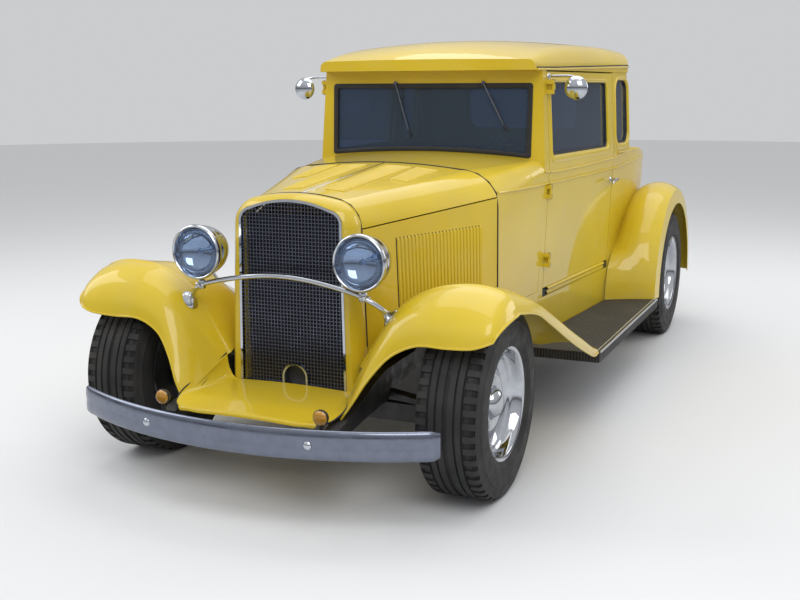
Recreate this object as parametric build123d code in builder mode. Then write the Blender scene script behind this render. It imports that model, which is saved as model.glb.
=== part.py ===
"""Five-window street rod coupe, in mm.

The front looks toward -Y, the car's left side is +X and the ground is Z = 0.
The origin lies on the ground below the middle of the overall length.
"""
import os
from math import atan2, cos, radians, sin

from build123d import *

os.makedirs("parts", exist_ok=True)

# Driving sizes
wheelbase = 2769
front_overhang = 610
rear_overhang = 931
overall_length = front_overhang + wheelbase + rear_overhang
front_axle_y = -overall_length / 2 + front_overhang
sheet = 4
wall = 38
seat_gap = 0.3
panel_gap = 5


def st(behind_front_axle):
    """Y of a station given as its distance behind the front axle."""
    return front_axle_y + behind_front_axle


def cap_mid(rim, rim_at, tip_at):
    """Mid point (radius, place) of a round cap from its rim to its tip on the axis."""
    way = 1 if tip_at > rim_at else -1
    rise = abs(tip_at - rim_at)
    bow = (rim**2 + rise**2) / (2 * rise)
    half_turn = atan2(rim, bow - rise) / 2
    return bow * sin(half_turn), tip_at - way * (bow - bow * cos(half_turn))


# Wheels and tyres
rim_radius = 207
bead_radius = 189
cap_radius = 52
hub_face = 30
front_tyre = {"station": 0, "radius": 328, "width": 228, "centre_x": 653, "rim_half": 102}
rear_tyre = {"station": wheelbase, "radius": 343, "width": 244, "centre_x": 694, "rim_half": 110}
tyre_sets = {"front": front_tyre, "rear": rear_tyre}
sides = {"left": 1, "right": -1}

# Front end
kingpin_x = 556
arm_x = 526
arm_y = 124
arm_z = 262
axle_drop = 70
eye_half = 48
lug_end = 75
hood_thick = 5
hinge_rod = 4

# Front fender, all heights over the ground
crest_y = st(-100)
crest_z = 750
nose_radius = 205
nose_turn = 83
rear_radius = 456
rear_turn = 22
tail_station = 915
board_top = 302
board_bottom = 262
board_edge = 850

# Rear fender
rear_arch_y = st(wheelbase - 79)
rear_arch_z = 300
rear_crown_radius = 560
well_radius = 490
tub_x = 540

# Cab
pillar_station = 1128
pillar_half = 537
door_front = 1184
door_rear = 2100
waist_x = 612
sill_z = 500
floor_z = 466
belt_z = 1050
roof_z = 1450
tail_end = 3450
tumble = 22
tuck = 20
door_bottom = 506
door_top = 1444
glass_thick = 6

# Bumpers and lamps
bumper_tall = 98
bumper_thick = 14
front_bar = {"low": 250, "half": 681, "middle": -front_overhang, "bow": 181, "way": 1}
rear_bar = {"low": 406, "half": 740, "middle": wheelbase + rear_overhang, "bow": 140, "way": -1}
lamp_x = 317
lamp_y = st(-230)
lamp_z = 817
lamp_radius = 96
lamp_depth = 135


# Tyres and wheels
for end, tyre_size in tyre_sets.items():
    axle_z = tyre_size["radius"]
    half = tyre_size["width"] / 2
    tread = half - 14
    rim_half_width = tyre_size["rim_half"]
    mid = (axle_z + bead_radius) / 2 + 6
    for side, sign in sides.items():
        centre = (sign * tyre_size["centre_x"], st(tyre_size["station"]), axle_z)
        section = Plane(origin=centre, x_dir=(1, 0, 0), z_dir=(0, -1, 0))
        spin = Axis(centre, (1, 0, 0))
        with BuildPart() as tyre:
            with BuildSketch(section):
                with BuildLine():
                    ThreePointArc((rim_half_width - 12, bead_radius + 1), (half, mid), (tread, axle_z - 14))
                    Line((tread, axle_z - 14), (tread - 14, axle_z))
                    Line((tread - 14, axle_z), (14 - tread, axle_z))
                    Line((14 - tread, axle_z), (-tread, axle_z - 14))
                    ThreePointArc((-tread, axle_z - 14), (-half, mid), (12 - rim_half_width, bead_radius + 1))
                    Line((12 - rim_half_width, bead_radius + 1), (rim_half_width - 12, bead_radius + 1))
                make_face()
            revolve(axis=spin)
        tyre.part.label = f"tyre_{end}_{side}"
        export_step(tyre.part, f"parts/tyre_{end}_{side}.step")

        outer = sign * rim_half_width
        cap_r, cap_at = cap_mid(cap_radius, hub_face + 14, hub_face + 56)
        with BuildPart() as wheel:
            with BuildSketch(section):
                with BuildLine():
                    Polyline(
                        (sign * hub_face, 0),
                        (sign * hub_face, cap_radius + 30),
                        (sign * (hub_face - 12), 130),
                        (sign * 44, 176),
                        (-outer + sign * 8, 178),
                        (-outer, rim_radius),
                        (-outer + sign * 9, bead_radius),
                        (outer - sign * 9, bead_radius),
                        (outer, rim_radius),
                        (outer - sign * 3, 183),
                        (sign * 62, 172),
                        (sign * (hub_face + 2), 128),
                        (sign * (hub_face + 22), 98),
                        (sign * (hub_face + 14), cap_radius),
                    )
                    ThreePointArc(
                        (sign * (hub_face + 14), cap_radius),
                        (sign * cap_at, cap_r),
                        (sign * (hub_face + 56), 0),
                    )
                    Line((sign * (hub_face + 56), 0), (sign * hub_face, 0))
                make_face()
            revolve(axis=spin)
        wheel.part.label = f"wheel_{end}_{side}"
        export_step(wheel.part, f"parts/wheel_{end}_{side}.step")


def across(station):
    """Upright plane across the car at a station, drawn in X and Z."""
    return Plane(origin=(0, st(station), 0), x_dir=(1, 0, 0), z_dir=(0, -1, 0))


# Steering knuckles with their discs, and the tie rod between their arms
wheel_z = front_tyre["radius"]
hub_end = front_tyre["centre_x"] + hub_face - seat_gap
for side, sign in sides.items():
    with BuildPart() as knuckle:
        with BuildSketch(Plane(origin=(0, st(0), wheel_z), x_dir=(1, 0, 0), z_dir=(0, -1, 0))):
            with BuildLine():
                Polyline(
                    (sign * (kingpin_x + 24), 0),
                    (sign * hub_end, 0),
                    (sign * hub_end, 58),
                    (sign * (hub_end - 60), 58),
                    (sign * (hub_end - 60), 132),
                    (sign * (hub_end - 82), 132),
                    (sign * (hub_end - 82), 30),
                    (sign * (kingpin_x + 24), 30),
                    close=True,
                )
            make_face()
        revolve(axis=Axis((0, st(0), wheel_z), (1, 0, 0)))
        with Locations((sign * (kingpin_x + 27), st(0), wheel_z)):
            Box(16, 60, 2 * lug_end)
        for lug_way in (1, -1):
            lug_z = wheel_z + lug_way * (lug_end + eye_half + seat_gap) / 2
            with Locations((sign * (kingpin_x + 4), st(0), lug_z)):
                Box(48, 50, lug_end - eye_half - seat_gap)
        with Locations((sign * (kingpin_x + 27), st(arm_y / 2 + 8), arm_z + 2)):
            Box(16, arm_y + 16, 22)
        with Locations((sign * (kingpin_x + arm_x + 20) / 2, st(arm_y), arm_z + 2)):
            Box(kingpin_x - arm_x + 50, 30, 18)
    knuckle.part.label = f"knuckle_{side}"
    export_step(knuckle.part, f"parts/knuckle_{side}.step")

with BuildPart() as tie_rod:
    with BuildSketch(Plane.YZ.offset(-arm_x)):
        with Locations((st(arm_y), arm_z - 22)):
            Circle(10)
    extrude(amount=2 * arm_x)
    with BuildSketch(Plane.XY.offset(arm_z - 34)):
        with Locations((arm_x, st(arm_y)), (-arm_x, st(arm_y))):
            Circle(15)
    extrude(amount=27 - seat_gap)
tie_rod.part.label = "tie_rod"
export_step(tie_rod.part, "parts/tie_rod.step")

# Axles and springs: a dropped front beam, the rear housing and four leaf packs
rail_in, rail_out = 285, 335
rail_top = 470 - seat_gap
rear_z = rear_tyre["radius"]
rear_hub = rear_tyre["centre_x"] + hub_face - seat_gap
ball_radius = 140
ball_end = (ball_radius**2 - 44**2) ** 0.5
with BuildPart() as axles:
    with BuildSketch(Plane.XZ.offset(-st(0) + 24)):
        with BuildLine():
            Polyline(
                (kingpin_x, wheel_z + eye_half),
                (kingpin_x - 18, wheel_z + eye_half),
                (kingpin_x - 60, wheel_z - axle_drop + 32),
                (60 - kingpin_x, wheel_z - axle_drop + 32),
                (18 - kingpin_x, wheel_z + eye_half),
                (-kingpin_x, wheel_z + eye_half),
                (-kingpin_x, wheel_z - eye_half),
                (34 - kingpin_x, wheel_z - eye_half),
                (70 - kingpin_x, wheel_z - axle_drop - 32),
                (kingpin_x - 70, wheel_z - axle_drop - 32),
                (kingpin_x - 34, wheel_z - eye_half),
                (kingpin_x, wheel_z - eye_half),
                close=True,
            )
        make_face()
    extrude(amount=-48)
    with BuildSketch(Plane.XY.offset(wheel_z - eye_half)):
        with Locations((kingpin_x, st(0)), (-kingpin_x, st(0))):
            Circle(17)
    extrude(amount=2 * eye_half)
    with BuildSketch(Plane(origin=(0, st(wheelbase), rear_z), x_dir=(1, 0, 0), z_dir=(0, -1, 0))):
        with BuildLine():
            collar = 70 - rear_hub
            Polyline((-rear_hub, 0), (-rear_hub, 62), (collar, 62), (collar, 44), (-ball_end, 44))
            ThreePointArc((-ball_end, 44), (0, ball_radius), (ball_end, 44))
            Polyline((ball_end, 44), (-collar, 44), (-collar, 62), (rear_hub, 62))
            Polyline((rear_hub, 62), (rear_hub, 0), (-rear_hub, 0))
        make_face()
    revolve(axis=Axis((0, st(wheelbase), rear_z), (1, 0, 0)))
axles.part.label = "axles"
export_step(axles.part, "parts/axles.step")

front_seat_z = wheel_z - axle_drop + 32 + seat_gap
rear_seat_z = rear_z + 44 + seat_gap
spring_crown = 352
with BuildPart() as springs:
    with BuildSketch(Plane.YZ.offset(rail_in + 2)):
        with BuildLine():
            eye_front, eye_back, eye_z = st(2289), st(3249), rear_seat_z + 44
            ThreePointArc((eye_front, eye_z), (st(wheelbase), rear_seat_z), (eye_back, eye_z))
            Line((eye_back, eye_z), (eye_back, eye_z + 12))
            ThreePointArc((eye_back, eye_z + 12), (st(wheelbase), rear_seat_z + 40), (eye_front, eye_z + 12))
            Line((eye_front, eye_z + 12), (eye_front, eye_z))
        make_face()
    extrude(amount=46)
    mirror(about=Plane.YZ)
    with BuildSketch(across(24)):
        with BuildLine():
            ThreePointArc((-470, front_seat_z + 14), (0, spring_crown), (470, front_seat_z + 14))
            Line((470, front_seat_z + 14), (470, front_seat_z))
            ThreePointArc((470, front_seat_z), (0, spring_crown - 38), (-470, front_seat_z))
            Line((-470, front_seat_z), (-470, front_seat_z + 14))
        make_face()
    extrude(amount=48)
springs.part.label = "springs"
export_step(springs.part, "parts/springs.step")

# Frame: two kicked-up rails, cross members and the bumper irons


def bar_back(bar, x):
    """Station of a bumper's inner face at x."""
    bend = (bar["half"] ** 2 + bar["bow"] ** 2) / (2 * bar["bow"])
    return bar["middle"] + bar["way"] * (bumper_thick + bend - (bend**2 - x**2) ** 0.5)


with BuildPart() as frame:
    with BuildSketch(Plane.YZ.offset(rail_in)):
        with BuildLine():
            Polyline(
                (st(-440), 252),
                (st(-440), 300),
                (st(-404), 314),
                (st(-340), 326),
                (st(-250), 360),
                (st(-160), 396),
                (st(-60), 420),
                (st(180), 430),
                (st(330), rail_top),
                (st(2230), rail_top),
                (st(2330), 560),
                (st(3180), 560),
                (st(3330), 470),
                (st(3330), 400),
                (st(3249), rear_seat_z + 56 + seat_gap),
                (st(3120), 496),
                (st(2420), 496),
                (st(2289), rear_seat_z + 56 + seat_gap),
                (st(2180), 384),
                (st(400), 384),
                (st(35), spring_crown - 8),
                (st(-35), spring_crown - 8),
                (st(-45), 305),
                (st(-110), 305),
                (st(-340), 278),
                close=True,
            )
        make_face()
    extrude(amount=rail_out - rail_in)
    mirror(about=Plane.YZ)
    with Locations((0, st(-75), 318), (0, st(0), spring_crown + 17.7 + seat_gap)):
        Box(2 * rail_in, 56, 35.4)
    with Locations((0, st(700), 420), (0, st(1500), 420), (0, st(2140), 420), (0, st(3290), 460)):
        Box(2 * rail_in, 60, 50)
    for bar, horn, iron_z in ((front_bar, -440, 275), (rear_bar, 3325, 440)):
        tip = bar_back(bar, rail_in + 38) + bar["way"] * seat_gap
        with Locations(*[(sign * (rail_in + 25), st((tip + horn) / 2), iron_z) for sign in sides.values()]):
            Box(26, abs(tip - horn), 40)
frame.part.label = "frame"
export_step(frame.part, "parts/frame.step")

# Engine with its gearbox, one plain block
with BuildPart() as engine:
    with Locations((0, st(360), 640)):
        Box(420, 520, 480)
    with Locations((0, st(300), 430)):
        Box(2 * (rail_in - seat_gap), 60, 40)
engine.part.label = "engine"
export_step(engine.part, "parts/engine.step")

# Radiator core behind the mesh
with BuildPart() as radiator:
    with Locations((0, st(-75), 640)):
        Box(372, 46, 608)
radiator.part.label = "radiator"
export_step(radiator.part, "parts/radiator.step")


def arch_outline(foot, hinge, corner, shoulder, top, inset=0):
    """Closed crowned section, the same on both sides, drawn in by an inset."""
    foot_x, foot_z = foot[0] - inset, foot[1]
    hinge_x, hinge_z = hinge[0] - inset, hinge[1]
    corner_x, corner_z = corner[0] - 0.8 * inset, corner[1] - 0.6 * inset
    shoulder_x, shoulder_z = shoulder[0], shoulder[1] - inset
    ThreePointArc((shoulder_x, shoulder_z), (0, top - inset), (-shoulder_x, shoulder_z))
    ThreePointArc((shoulder_x, shoulder_z), (corner_x, corner_z), (hinge_x, hinge_z))
    ThreePointArc((-shoulder_x, shoulder_z), (-corner_x, corner_z), (-hinge_x, hinge_z))
    Line((hinge_x, hinge_z), (foot_x, foot_z))
    Line((-hinge_x, hinge_z), (-foot_x, foot_z))
    Line((foot_x, foot_z), (-foot_x, foot_z))


hood_nose = {
    "foot": (262, 424), "hinge": (238, 905),
    "corner": (219, 962), "shoulder": (169, 998), "top": 1018,
}
hood_heel = {
    "foot": (492, 506), "hinge": (487, 958),
    "corner": (447, 1015), "shoulder": (331, 1059), "top": 1080,
}
cowl_heel = {
    "foot": (517, 500), "hinge": (536, 1000),
    "corner": (528, 1048), "shoulder": (485, 1072), "top": 1100,
}

# Grille shell with its arched opening, and the bright rim inside it
shell_foot = {**hood_nose, "foot": (262, 336)}
opening_low = 338
with BuildPart() as grille_shell:
    for station, inset in ((-130, 24), (-112, 7), (-50, 0)):
        with BuildSketch(across(station)):
            with BuildLine():
                arch_outline(**shell_foot, inset=inset)
            make_face()
    loft()
    with BuildSketch(across(-40)):
        with BuildLine():
            arch_outline(foot=(215, 300), hinge=(203, 915), corner=(192, 955), shoulder=(160, 973), top=1004)
        make_face()
    extrude(amount=100, mode=Mode.SUBTRACT)
grille_shell.part.label = "grille_shell"
export_step(grille_shell.part, "parts/grille_shell.step")

rim_arch = {
    "foot": (213.9, opening_low),
    "hinge": (202.7, 915),
    "corner": (191.7, 954.7),
    "shoulder": (160, 972.7),
    "top": 1003.7,
}
crank_x, crank_z, crank_radius = 10, 374, 50
with BuildPart() as grille_rim:
    with BuildSketch(across(-116)):
        with BuildLine():
            arch_outline(**rim_arch)
        make_face()
    extrude(amount=16)
    with BuildSketch(across(-100)):
        with BuildLine():
            arch_outline(**rim_arch, inset=9)
        make_face()
        with Locations((crank_x, crank_z)):
            Circle(crank_radius, mode=Mode.SUBTRACT)
        with Locations((crank_x, opening_low + (crank_z - opening_low) / 2)):
            Rectangle(2 * crank_radius, crank_z - opening_low, mode=Mode.SUBTRACT)
    extrude(amount=60, mode=Mode.SUBTRACT)
    with BuildSketch(across(-90)):
        with Locations((crank_x, crank_z)):
            Circle(crank_radius - 7)
        with Locations((crank_x, opening_low)):
            Rectangle(2 * crank_radius - 14, 2 * (crank_z - opening_low))
    extrude(amount=60, mode=Mode.SUBTRACT)
grille_rim.part.label = "grille_rim"
export_step(grille_rim.part, "parts/grille_rim.step")

# Woven mesh in two layers, uprights in front of the cross wires
mesh_pitch, mesh_wire = 13, 2.4
with BuildPart() as grille_mesh:
    for front, columns, rows, across_wire, down_wire in (
        (-123, 30, 1, mesh_wire, 720),
        (-120.4, 1, 52, 440, mesh_wire),
    ):
        with BuildSketch(across(front)):
            with Locations((0, 671)):
                with GridLocations(mesh_pitch, mesh_pitch, columns, rows):
                    Rectangle(across_wire, down_wire)
            with BuildLine():
                arch_outline(**rim_arch, inset=9.3)
            make_face(mode=Mode.INTERSECT)
            with Locations((crank_x, crank_z)):
                Circle(crank_radius + 0.3, mode=Mode.SUBTRACT)
            with Locations((crank_x, opening_low)):
                Rectangle(2 * crank_radius + 0.6, 2 * (crank_z - opening_low), mode=Mode.SUBTRACT)
            with Locations((0, opening_low + 4)):
                Rectangle(440, 10, mode=Mode.SUBTRACT)
        extrude(amount=2)
grille_mesh.part.label = "grille_mesh"
export_step(grille_mesh.part, "parts/grille_mesh.step")


def crown_height(row, x, drop=0):
    """Height of a crowned section's top arc at x, less a drop."""
    sink = row["top"] - row["shoulder"][1]
    bow = (row["shoulder"][0] ** 2 + sink**2) / (2 * sink)
    return row["top"] - bow + (bow**2 - x**2) ** 0.5 - drop


# Hood: two lifting tops beside a fixed hinge rod, over two fixed side panels, all louvred
hood_span = ((hood_nose, -45), (hood_heel, 650))
edge_x = hinge_rod + seat_gap
louvre_rise = 5
top_louvres = (
    # count, first station, pitch, inner x, first outer x, last outer x
    (27, 45, 19.9, 40, 124, 155),
    (12, 326, 21.4, 175, 245, 268),
)
side_louvres = {"count": 25, "first": 112, "last": 548, "low": 592, "high": 853}


def hood_height(station, x):
    """Height of the hood's top at a station and x, between its two end sections."""
    share = (station + 45) / 695
    reach = [row["shoulder"][0] - edge_x for row in (hood_nose, hood_heel)]
    part = (x - edge_x) / (reach[0] * (1 - share) + reach[1] * share)
    ends = [crown_height(row, edge_x + part * span) for row, span in zip((hood_nose, hood_heel), reach)]
    return ends[0] * (1 - share) + ends[1] * share


def side_x(station, height):
    """Half width of the hood's side at a station and height."""
    share = (station + 50 - seat_gap) / (705 - 2 * seat_gap)
    foot, hinge = ([row[key][at] * (1 - share) + after[key][at] * share for at in (0, 1)]
                   for key in ("foot", "hinge") for row, after in ((hood_nose, hood_heel),))
    return foot[0] + (hinge[0] - foot[0]) * (height - foot[1]) / (hinge[1] - panel_gap - foot[1])


def top_louvre(sign, station, inner_x, outer_x):
    """One pressed louvre on a hood top, rising toward the back."""
    with BuildPart() as louvre:
        for along, rise in ((0, 0.2), (11, louvre_rise), (13, 0.2)):
            ends = [(sign * x, hood_height(station + along, x)) for x in (inner_x, outer_x)]
            mid_x = (inner_x + outer_x) / 2
            mid = (sign * mid_x, hood_height(station + along, mid_x))
            with BuildSketch(across(station + along)):
                with BuildLine():
                    ThreePointArc(*[(x, z - 2) for x, z in (ends[0], mid, ends[1])])
                    ThreePointArc(*[(x, z + rise) for x, z in (ends[0], mid, ends[1])])
                    for x, z in ends:
                        Line((x, z - 2), (x, z + rise))
                make_face()
        loft(ruled=True)
    return louvre.part


def side_louvre(station):
    """One pressed louvre on the left side panel, open toward the back."""
    with BuildPart() as louvre:
        for height in (side_louvres["low"], side_louvres["high"]):
            with BuildSketch(Plane.XY.offset(height)):
                with BuildLine():
                    Polyline(
                        (side_x(station, height) - 2, st(station)),
                        (side_x(station + 11, height) + louvre_rise, st(station + 11)),
                        (side_x(station + 13, height) - 2, st(station + 13)),
                        close=True,
                    )
                make_face()
        loft(ruled=True)
    return louvre.part
for side, sign in sides.items():
    with BuildPart() as hood_top:
        for row, station in hood_span:
            shoulder_x, shoulder_z = row["shoulder"]
            corner_x, corner_z = row["corner"]
            hinge_x, hinge_z = row["hinge"]
            mid_x = (edge_x + shoulder_x) / 2
            drop = hood_thick
            with BuildSketch(across(station)):
                with BuildLine():
                    ThreePointArc(
                        (sign * edge_x, crown_height(row, edge_x)),
                        (sign * mid_x, crown_height(row, mid_x)),
                        (sign * shoulder_x, shoulder_z),
                    )
                    ThreePointArc(
                        (sign * shoulder_x, shoulder_z),
                        (sign * corner_x, corner_z),
                        (sign * hinge_x, hinge_z),
                    )
                    Line((sign * hinge_x, hinge_z), (sign * (hinge_x - drop), hinge_z))
                    ThreePointArc(
                        (sign * (hinge_x - drop), hinge_z),
                        (sign * (corner_x - 0.8 * drop), corner_z - 0.6 * drop),
                        (sign * shoulder_x, shoulder_z - drop),
                    )
                    ThreePointArc(
                        (sign * shoulder_x, shoulder_z - drop),
                        (sign * mid_x, crown_height(row, mid_x, drop)),
                        (sign * edge_x, crown_height(row, edge_x, drop)),
                    )
                    Line(
                        (sign * edge_x, crown_height(row, edge_x, drop)),
                        (sign * edge_x, crown_height(row, edge_x)),
                    )
                make_face()
        loft(ruled=True)
        add(
            [
                top_louvre(sign, first + pitch * i, inner_x, near_x + (far_x - near_x) * i / (count - 1))
                for count, first, pitch, inner_x, near_x, far_x in top_louvres
                for i in range(count)
            ]
        )
    hood_top.part.label = f"hood_top_{side}"
    export_step(hood_top.part, f"parts/hood_top_{side}.step")

with BuildPart() as hood_sides:
    for row, station in ((hood_nose, -50 + seat_gap), (hood_heel, 655 - seat_gap)):
        hinge_x, hinge_z = row["hinge"]
        foot_x, foot_z = row["foot"]
        with BuildSketch(across(station)):
            with BuildLine():
                Polyline(
                    (hinge_x, hinge_z - panel_gap),
                    (foot_x, foot_z),
                    (foot_x - hood_thick, foot_z),
                    (hinge_x - hood_thick, hinge_z - panel_gap),
                    close=True,
                )
            make_face()
    loft(ruled=True)
    louvre_pitch = (side_louvres["last"] - side_louvres["first"]) / (side_louvres["count"] - 1)
    add([side_louvre(side_louvres["first"] + louvre_pitch * i) for i in range(side_louvres["count"])])
    mirror(about=Plane.YZ)
hood_sides.part.label = "hood_sides"
export_step(hood_sides.part, "parts/hood_sides.step")

rod_front = Vector(0, st(-50), hood_nose["top"] - 3)
rod_back = Vector(0, st(655), hood_heel["top"] - 3)
rod_way = (rod_back - rod_front).normalized()
with BuildPart() as hood_rod:
    with BuildSketch(Plane(origin=rod_front - 5 * rod_way, x_dir=(1, 0, 0), z_dir=rod_way)):
        Circle(hinge_rod)
    extrude(amount=(rod_back - rod_front).length + 10)
    with Locations((0, (rod_front.Y + rod_back.Y) / 2, 1050)):
        Box(40, 705 - 2 * seat_gap, 200, mode=Mode.INTERSECT)
hood_rod.part.label = "hood_rod"
export_step(hood_rod.part, "parts/hood_rod.step")


def plan_outline(front, quarter, corner_mid, corner_end, back, inset=0, front_inset=0):
    """Closed plan of the cab, the same on both sides, drawn in by an inset."""
    nose_x, nose_y = front[0] - inset, st(front[1] + front_inset)
    door_x, door_y = waist_x - inset, st(door_rear)
    quarter_x, quarter_y = quarter[0] - inset, st(quarter[1])
    mid_x, mid_y = corner_mid[0] - 0.8 * inset, st(corner_mid[1] - 0.6 * inset)
    end_x, end_y = corner_end[0] - 0.3 * inset, st(corner_end[1] - inset)
    for half in (1, -1):
        Line((half * nose_x, nose_y), (half * door_x, door_y))
        Line((half * door_x, door_y), (half * quarter_x, quarter_y))
        ThreePointArc((half * quarter_x, quarter_y), (half * mid_x, mid_y), (half * end_x, end_y))
    ThreePointArc((end_x, end_y), (0, st(back - inset)), (-end_x, end_y))
    Line((nose_x, nose_y), (-nose_x, nose_y))


low_plan = {
    "front": (pillar_half, pillar_station),
    "quarter": (626, 2380),
    "corner_mid": (592, 2950),
    "corner_end": (430, 3425),
    "back": tail_end,
}
cabin_plan = {
    "front": (pillar_half, pillar_station),
    "quarter": (626, 2360),
    "corner_mid": (590, 2480),
    "corner_end": (470, 2527),
    "back": 2540,
}
top_plan = {
    "front": (pillar_half, pillar_station + 16),
    "quarter": (626, 2330),
    "corner_mid": (588, 2440),
    "corner_end": (470, 2484),
    "back": 2496,
}

with BuildPart() as body_mass:
    with BuildSketch(Plane.XY.offset(floor_z)):
        with BuildLine():
            plan_outline(**low_plan, inset=tuck)
        make_face()
    with BuildSketch(Plane.XY.offset(belt_z)):
        with BuildLine():
            plan_outline(**low_plan)
        make_face()
    loft(ruled=True)
    with BuildSketch(Plane.YZ.offset(-700)):
        with BuildLine():
            Polyline(
                (st(2480), belt_z),
                (st(1000), belt_z),
                (st(1000), floor_z),
                (st(3560), floor_z),
                (st(3450), 560),
            )
            ThreePointArc((st(3450), 560), (st(3080), 905), (st(2480), belt_z))
        make_face()
    extrude(amount=1400, mode=Mode.INTERSECT)
    with BuildSketch(Plane.XY.offset(belt_z)):
        with BuildLine():
            plan_outline(**cabin_plan)
        make_face()
    with BuildSketch(Plane.XY.offset(roof_z - seat_gap)):
        with BuildLine():
            plan_outline(**top_plan, inset=tumble)
        make_face()
    loft(ruled=True)

with BuildPart() as body_hollow:
    with BuildSketch(Plane.XY.offset(floor_z - 10)):
        with BuildLine():
            plan_outline(**low_plan, inset=tuck + wall, front_inset=30)
        make_face()
    with BuildSketch(Plane.XY.offset(belt_z)):
        with BuildLine():
            plan_outline(**low_plan, inset=wall, front_inset=30)
        make_face()
    loft(ruled=True)
    with BuildSketch(Plane.YZ.offset(-700)):
        with BuildLine():
            Polyline(
                (st(2440), belt_z - 30),
                (st(2440), belt_z),
                (st(1000), belt_z),
                (st(1000), floor_z - 10),
                (st(3410), floor_z - 10),
                (st(3410), 540),
            )
            ThreePointArc((st(3410), 540), (st(3050), 870), (st(2440), belt_z - 30))
        make_face()
    extrude(amount=1400, mode=Mode.INTERSECT)
    with BuildSketch(Plane.XY.offset(belt_z - 60)):
        with BuildLine():
            plan_outline(**cabin_plan, inset=wall, front_inset=30)
        make_face()
    with BuildSketch(Plane.XY.offset(roof_z + 10)):
        with BuildLine():
            plan_outline(**top_plan, inset=tumble + wall, front_inset=30)
        make_face()
    loft(ruled=True)

# Window holes, and the same blocks drawn in by the seat gap for the panes
glass_low, glass_high = 1085, 1400
window_front, window_rear = 1228, 2008
quarter_front, quarter_rear = 2147, 2373
window_blocks = {}
for use, shrink in (("hole", 0), ("pane", seat_gap)):
    with BuildPart() as front_block:
        with BuildSketch(across(pillar_station + 72)):
            with BuildLine():
                screen_x, screen_z = 469 - shrink, 1083 + shrink
                ThreePointArc((-screen_x, screen_z), (0, screen_z + 23), (screen_x, screen_z))
                Polyline(
                    (screen_x, screen_z),
                    (screen_x, 1391 - shrink),
                    (-screen_x, 1391 - shrink),
                    (-screen_x, screen_z),
                )
            make_face()
        extrude(amount=130)
    with BuildPart() as door_block:
        with BuildSketch(Plane.YZ.offset(-760)):
            with Locations((st((window_front + window_rear) / 2), (glass_low + glass_high) / 2)):
                RectangleRounded(
                    window_rear - window_front - 2 * shrink, glass_high - glass_low - 2 * shrink, 26
                )
        extrude(amount=1520)
    with BuildPart() as rear_block:
        with BuildSketch(Plane.YZ.offset(-760)):
            with Locations((st((quarter_front + quarter_rear) / 2), (glass_low + glass_high) / 2 + 10)):
                RectangleRounded(
                    quarter_rear - quarter_front - 2 * shrink, glass_high - glass_low + 4 - 2 * shrink, 60
                )
        extrude(amount=1520)
        with BuildSketch(across(2700)):
            with Locations((0, 1265)):
                RectangleRounded(620 - 2 * shrink, 230 - 2 * shrink, 50)
        extrude(amount=300)
    window_blocks[use] = (front_block.part, door_block.part, rear_block.part)

with BuildPart() as cab_shell:
    add(body_mass.part)
    add(body_hollow.part, mode=Mode.SUBTRACT)
    for block in window_blocks["hole"]:
        add(block, mode=Mode.SUBTRACT)

with BuildPart() as glass_shell:
    for inset, mode in ((16, Mode.ADD), (16 + glass_thick, Mode.SUBTRACT)):
        with BuildSketch(Plane.XY.offset(belt_z)):
            with BuildLine():
                plan_outline(**cabin_plan, inset=inset, front_inset=inset - 6)
            make_face()
        with BuildSketch(Plane.XY.offset(roof_z)):
            with BuildLine():
                plan_outline(**top_plan, inset=tumble + inset, front_inset=inset - 6)
            make_face()
        loft(ruled=True, mode=mode)

front_pane, door_pane, rear_pane = window_blocks["pane"]
with BuildPart() as fixed_glass:
    add(glass_shell.part)
    add(front_pane + rear_pane, mode=Mode.INTERSECT)
fixed_glass.part.label = "fixed_glass"
export_step(fixed_glass.part, "parts/fixed_glass.step")


def cut_out(whole, x_span, y_span, z_span):
    """The piece of a part inside a box given by its spans."""
    with BuildPart() as piece:
        add(whole)
        with Locations([tuple(sum(span) / 2 for span in (x_span, y_span, z_span))]):
            Box(*[span[1] - span[0] for span in (x_span, y_span, z_span)], mode=Mode.INTERSECT)
    return piece.part


full_width = (-700, 700)
full_height = (floor_z - 20, roof_z + 20)

# Door hinges: the cowl's two barrels hold the door's one between them, all on one upright axis
door_hinge_x, door_hinge_station, barrel_radius = 549, door_front + 2, 7
door_hinge_rows = (
    # middle height, x of the skin there
    (634, 526),
    (934, 536),
    (1380, 521),
)


def hinge_barrel(sign, low, tall, skin_x, way):
    """One barrel with the arm that ties it into the panel before (-1) or behind (1) the axis."""
    with BuildPart() as barrel:
        with BuildSketch(Plane.XY.offset(low)):
            with Locations((sign * door_hinge_x, st(door_hinge_station))):
                Circle(barrel_radius)
            with Locations((sign * (door_hinge_x + 7 + skin_x - 12) / 2, st(door_hinge_station + way * 8.5))):
                Rectangle(door_hinge_x + 7 - skin_x + 12, 9)
        extrude(amount=tall)
    return barrel.part


# Cowl: crowned scuttle, windshield frame and pillars
with BuildPart() as cowl:
    for row, station in ((hood_heel, 655), (cowl_heel, pillar_station)):
        with BuildSketch(across(station)):
            with BuildLine():
                arch_outline(**row)
            make_face()
    loft(ruled=True)
    for row, station in ((hood_heel, 680), (cowl_heel, pillar_station + 1)):
        with BuildSketch(across(station)):
            with BuildLine():
                arch_outline(**{**row, "foot": (row["foot"][0], floor_z)}, inset=26)
            make_face()
    loft(ruled=True, mode=Mode.SUBTRACT)
    add(cut_out(cab_shell.part, full_width, (st(pillar_station) - 1, st(door_front)), full_height))
    with Locations((0, st(pillar_station + 15), (floor_z + 1040) / 2)):
        Box(2 * (pillar_half - 32), 40, 1040 - floor_z, mode=Mode.SUBTRACT)
    for sign in sides.values():
        for middle, skin_x in door_hinge_rows:
            add(hinge_barrel(sign, middle + 12 + seat_gap, 18 - seat_gap, skin_x, -1))
            add(hinge_barrel(sign, middle - 30, 18 - seat_gap, skin_x, -1))
cowl.part.label = "cowl"
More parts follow.
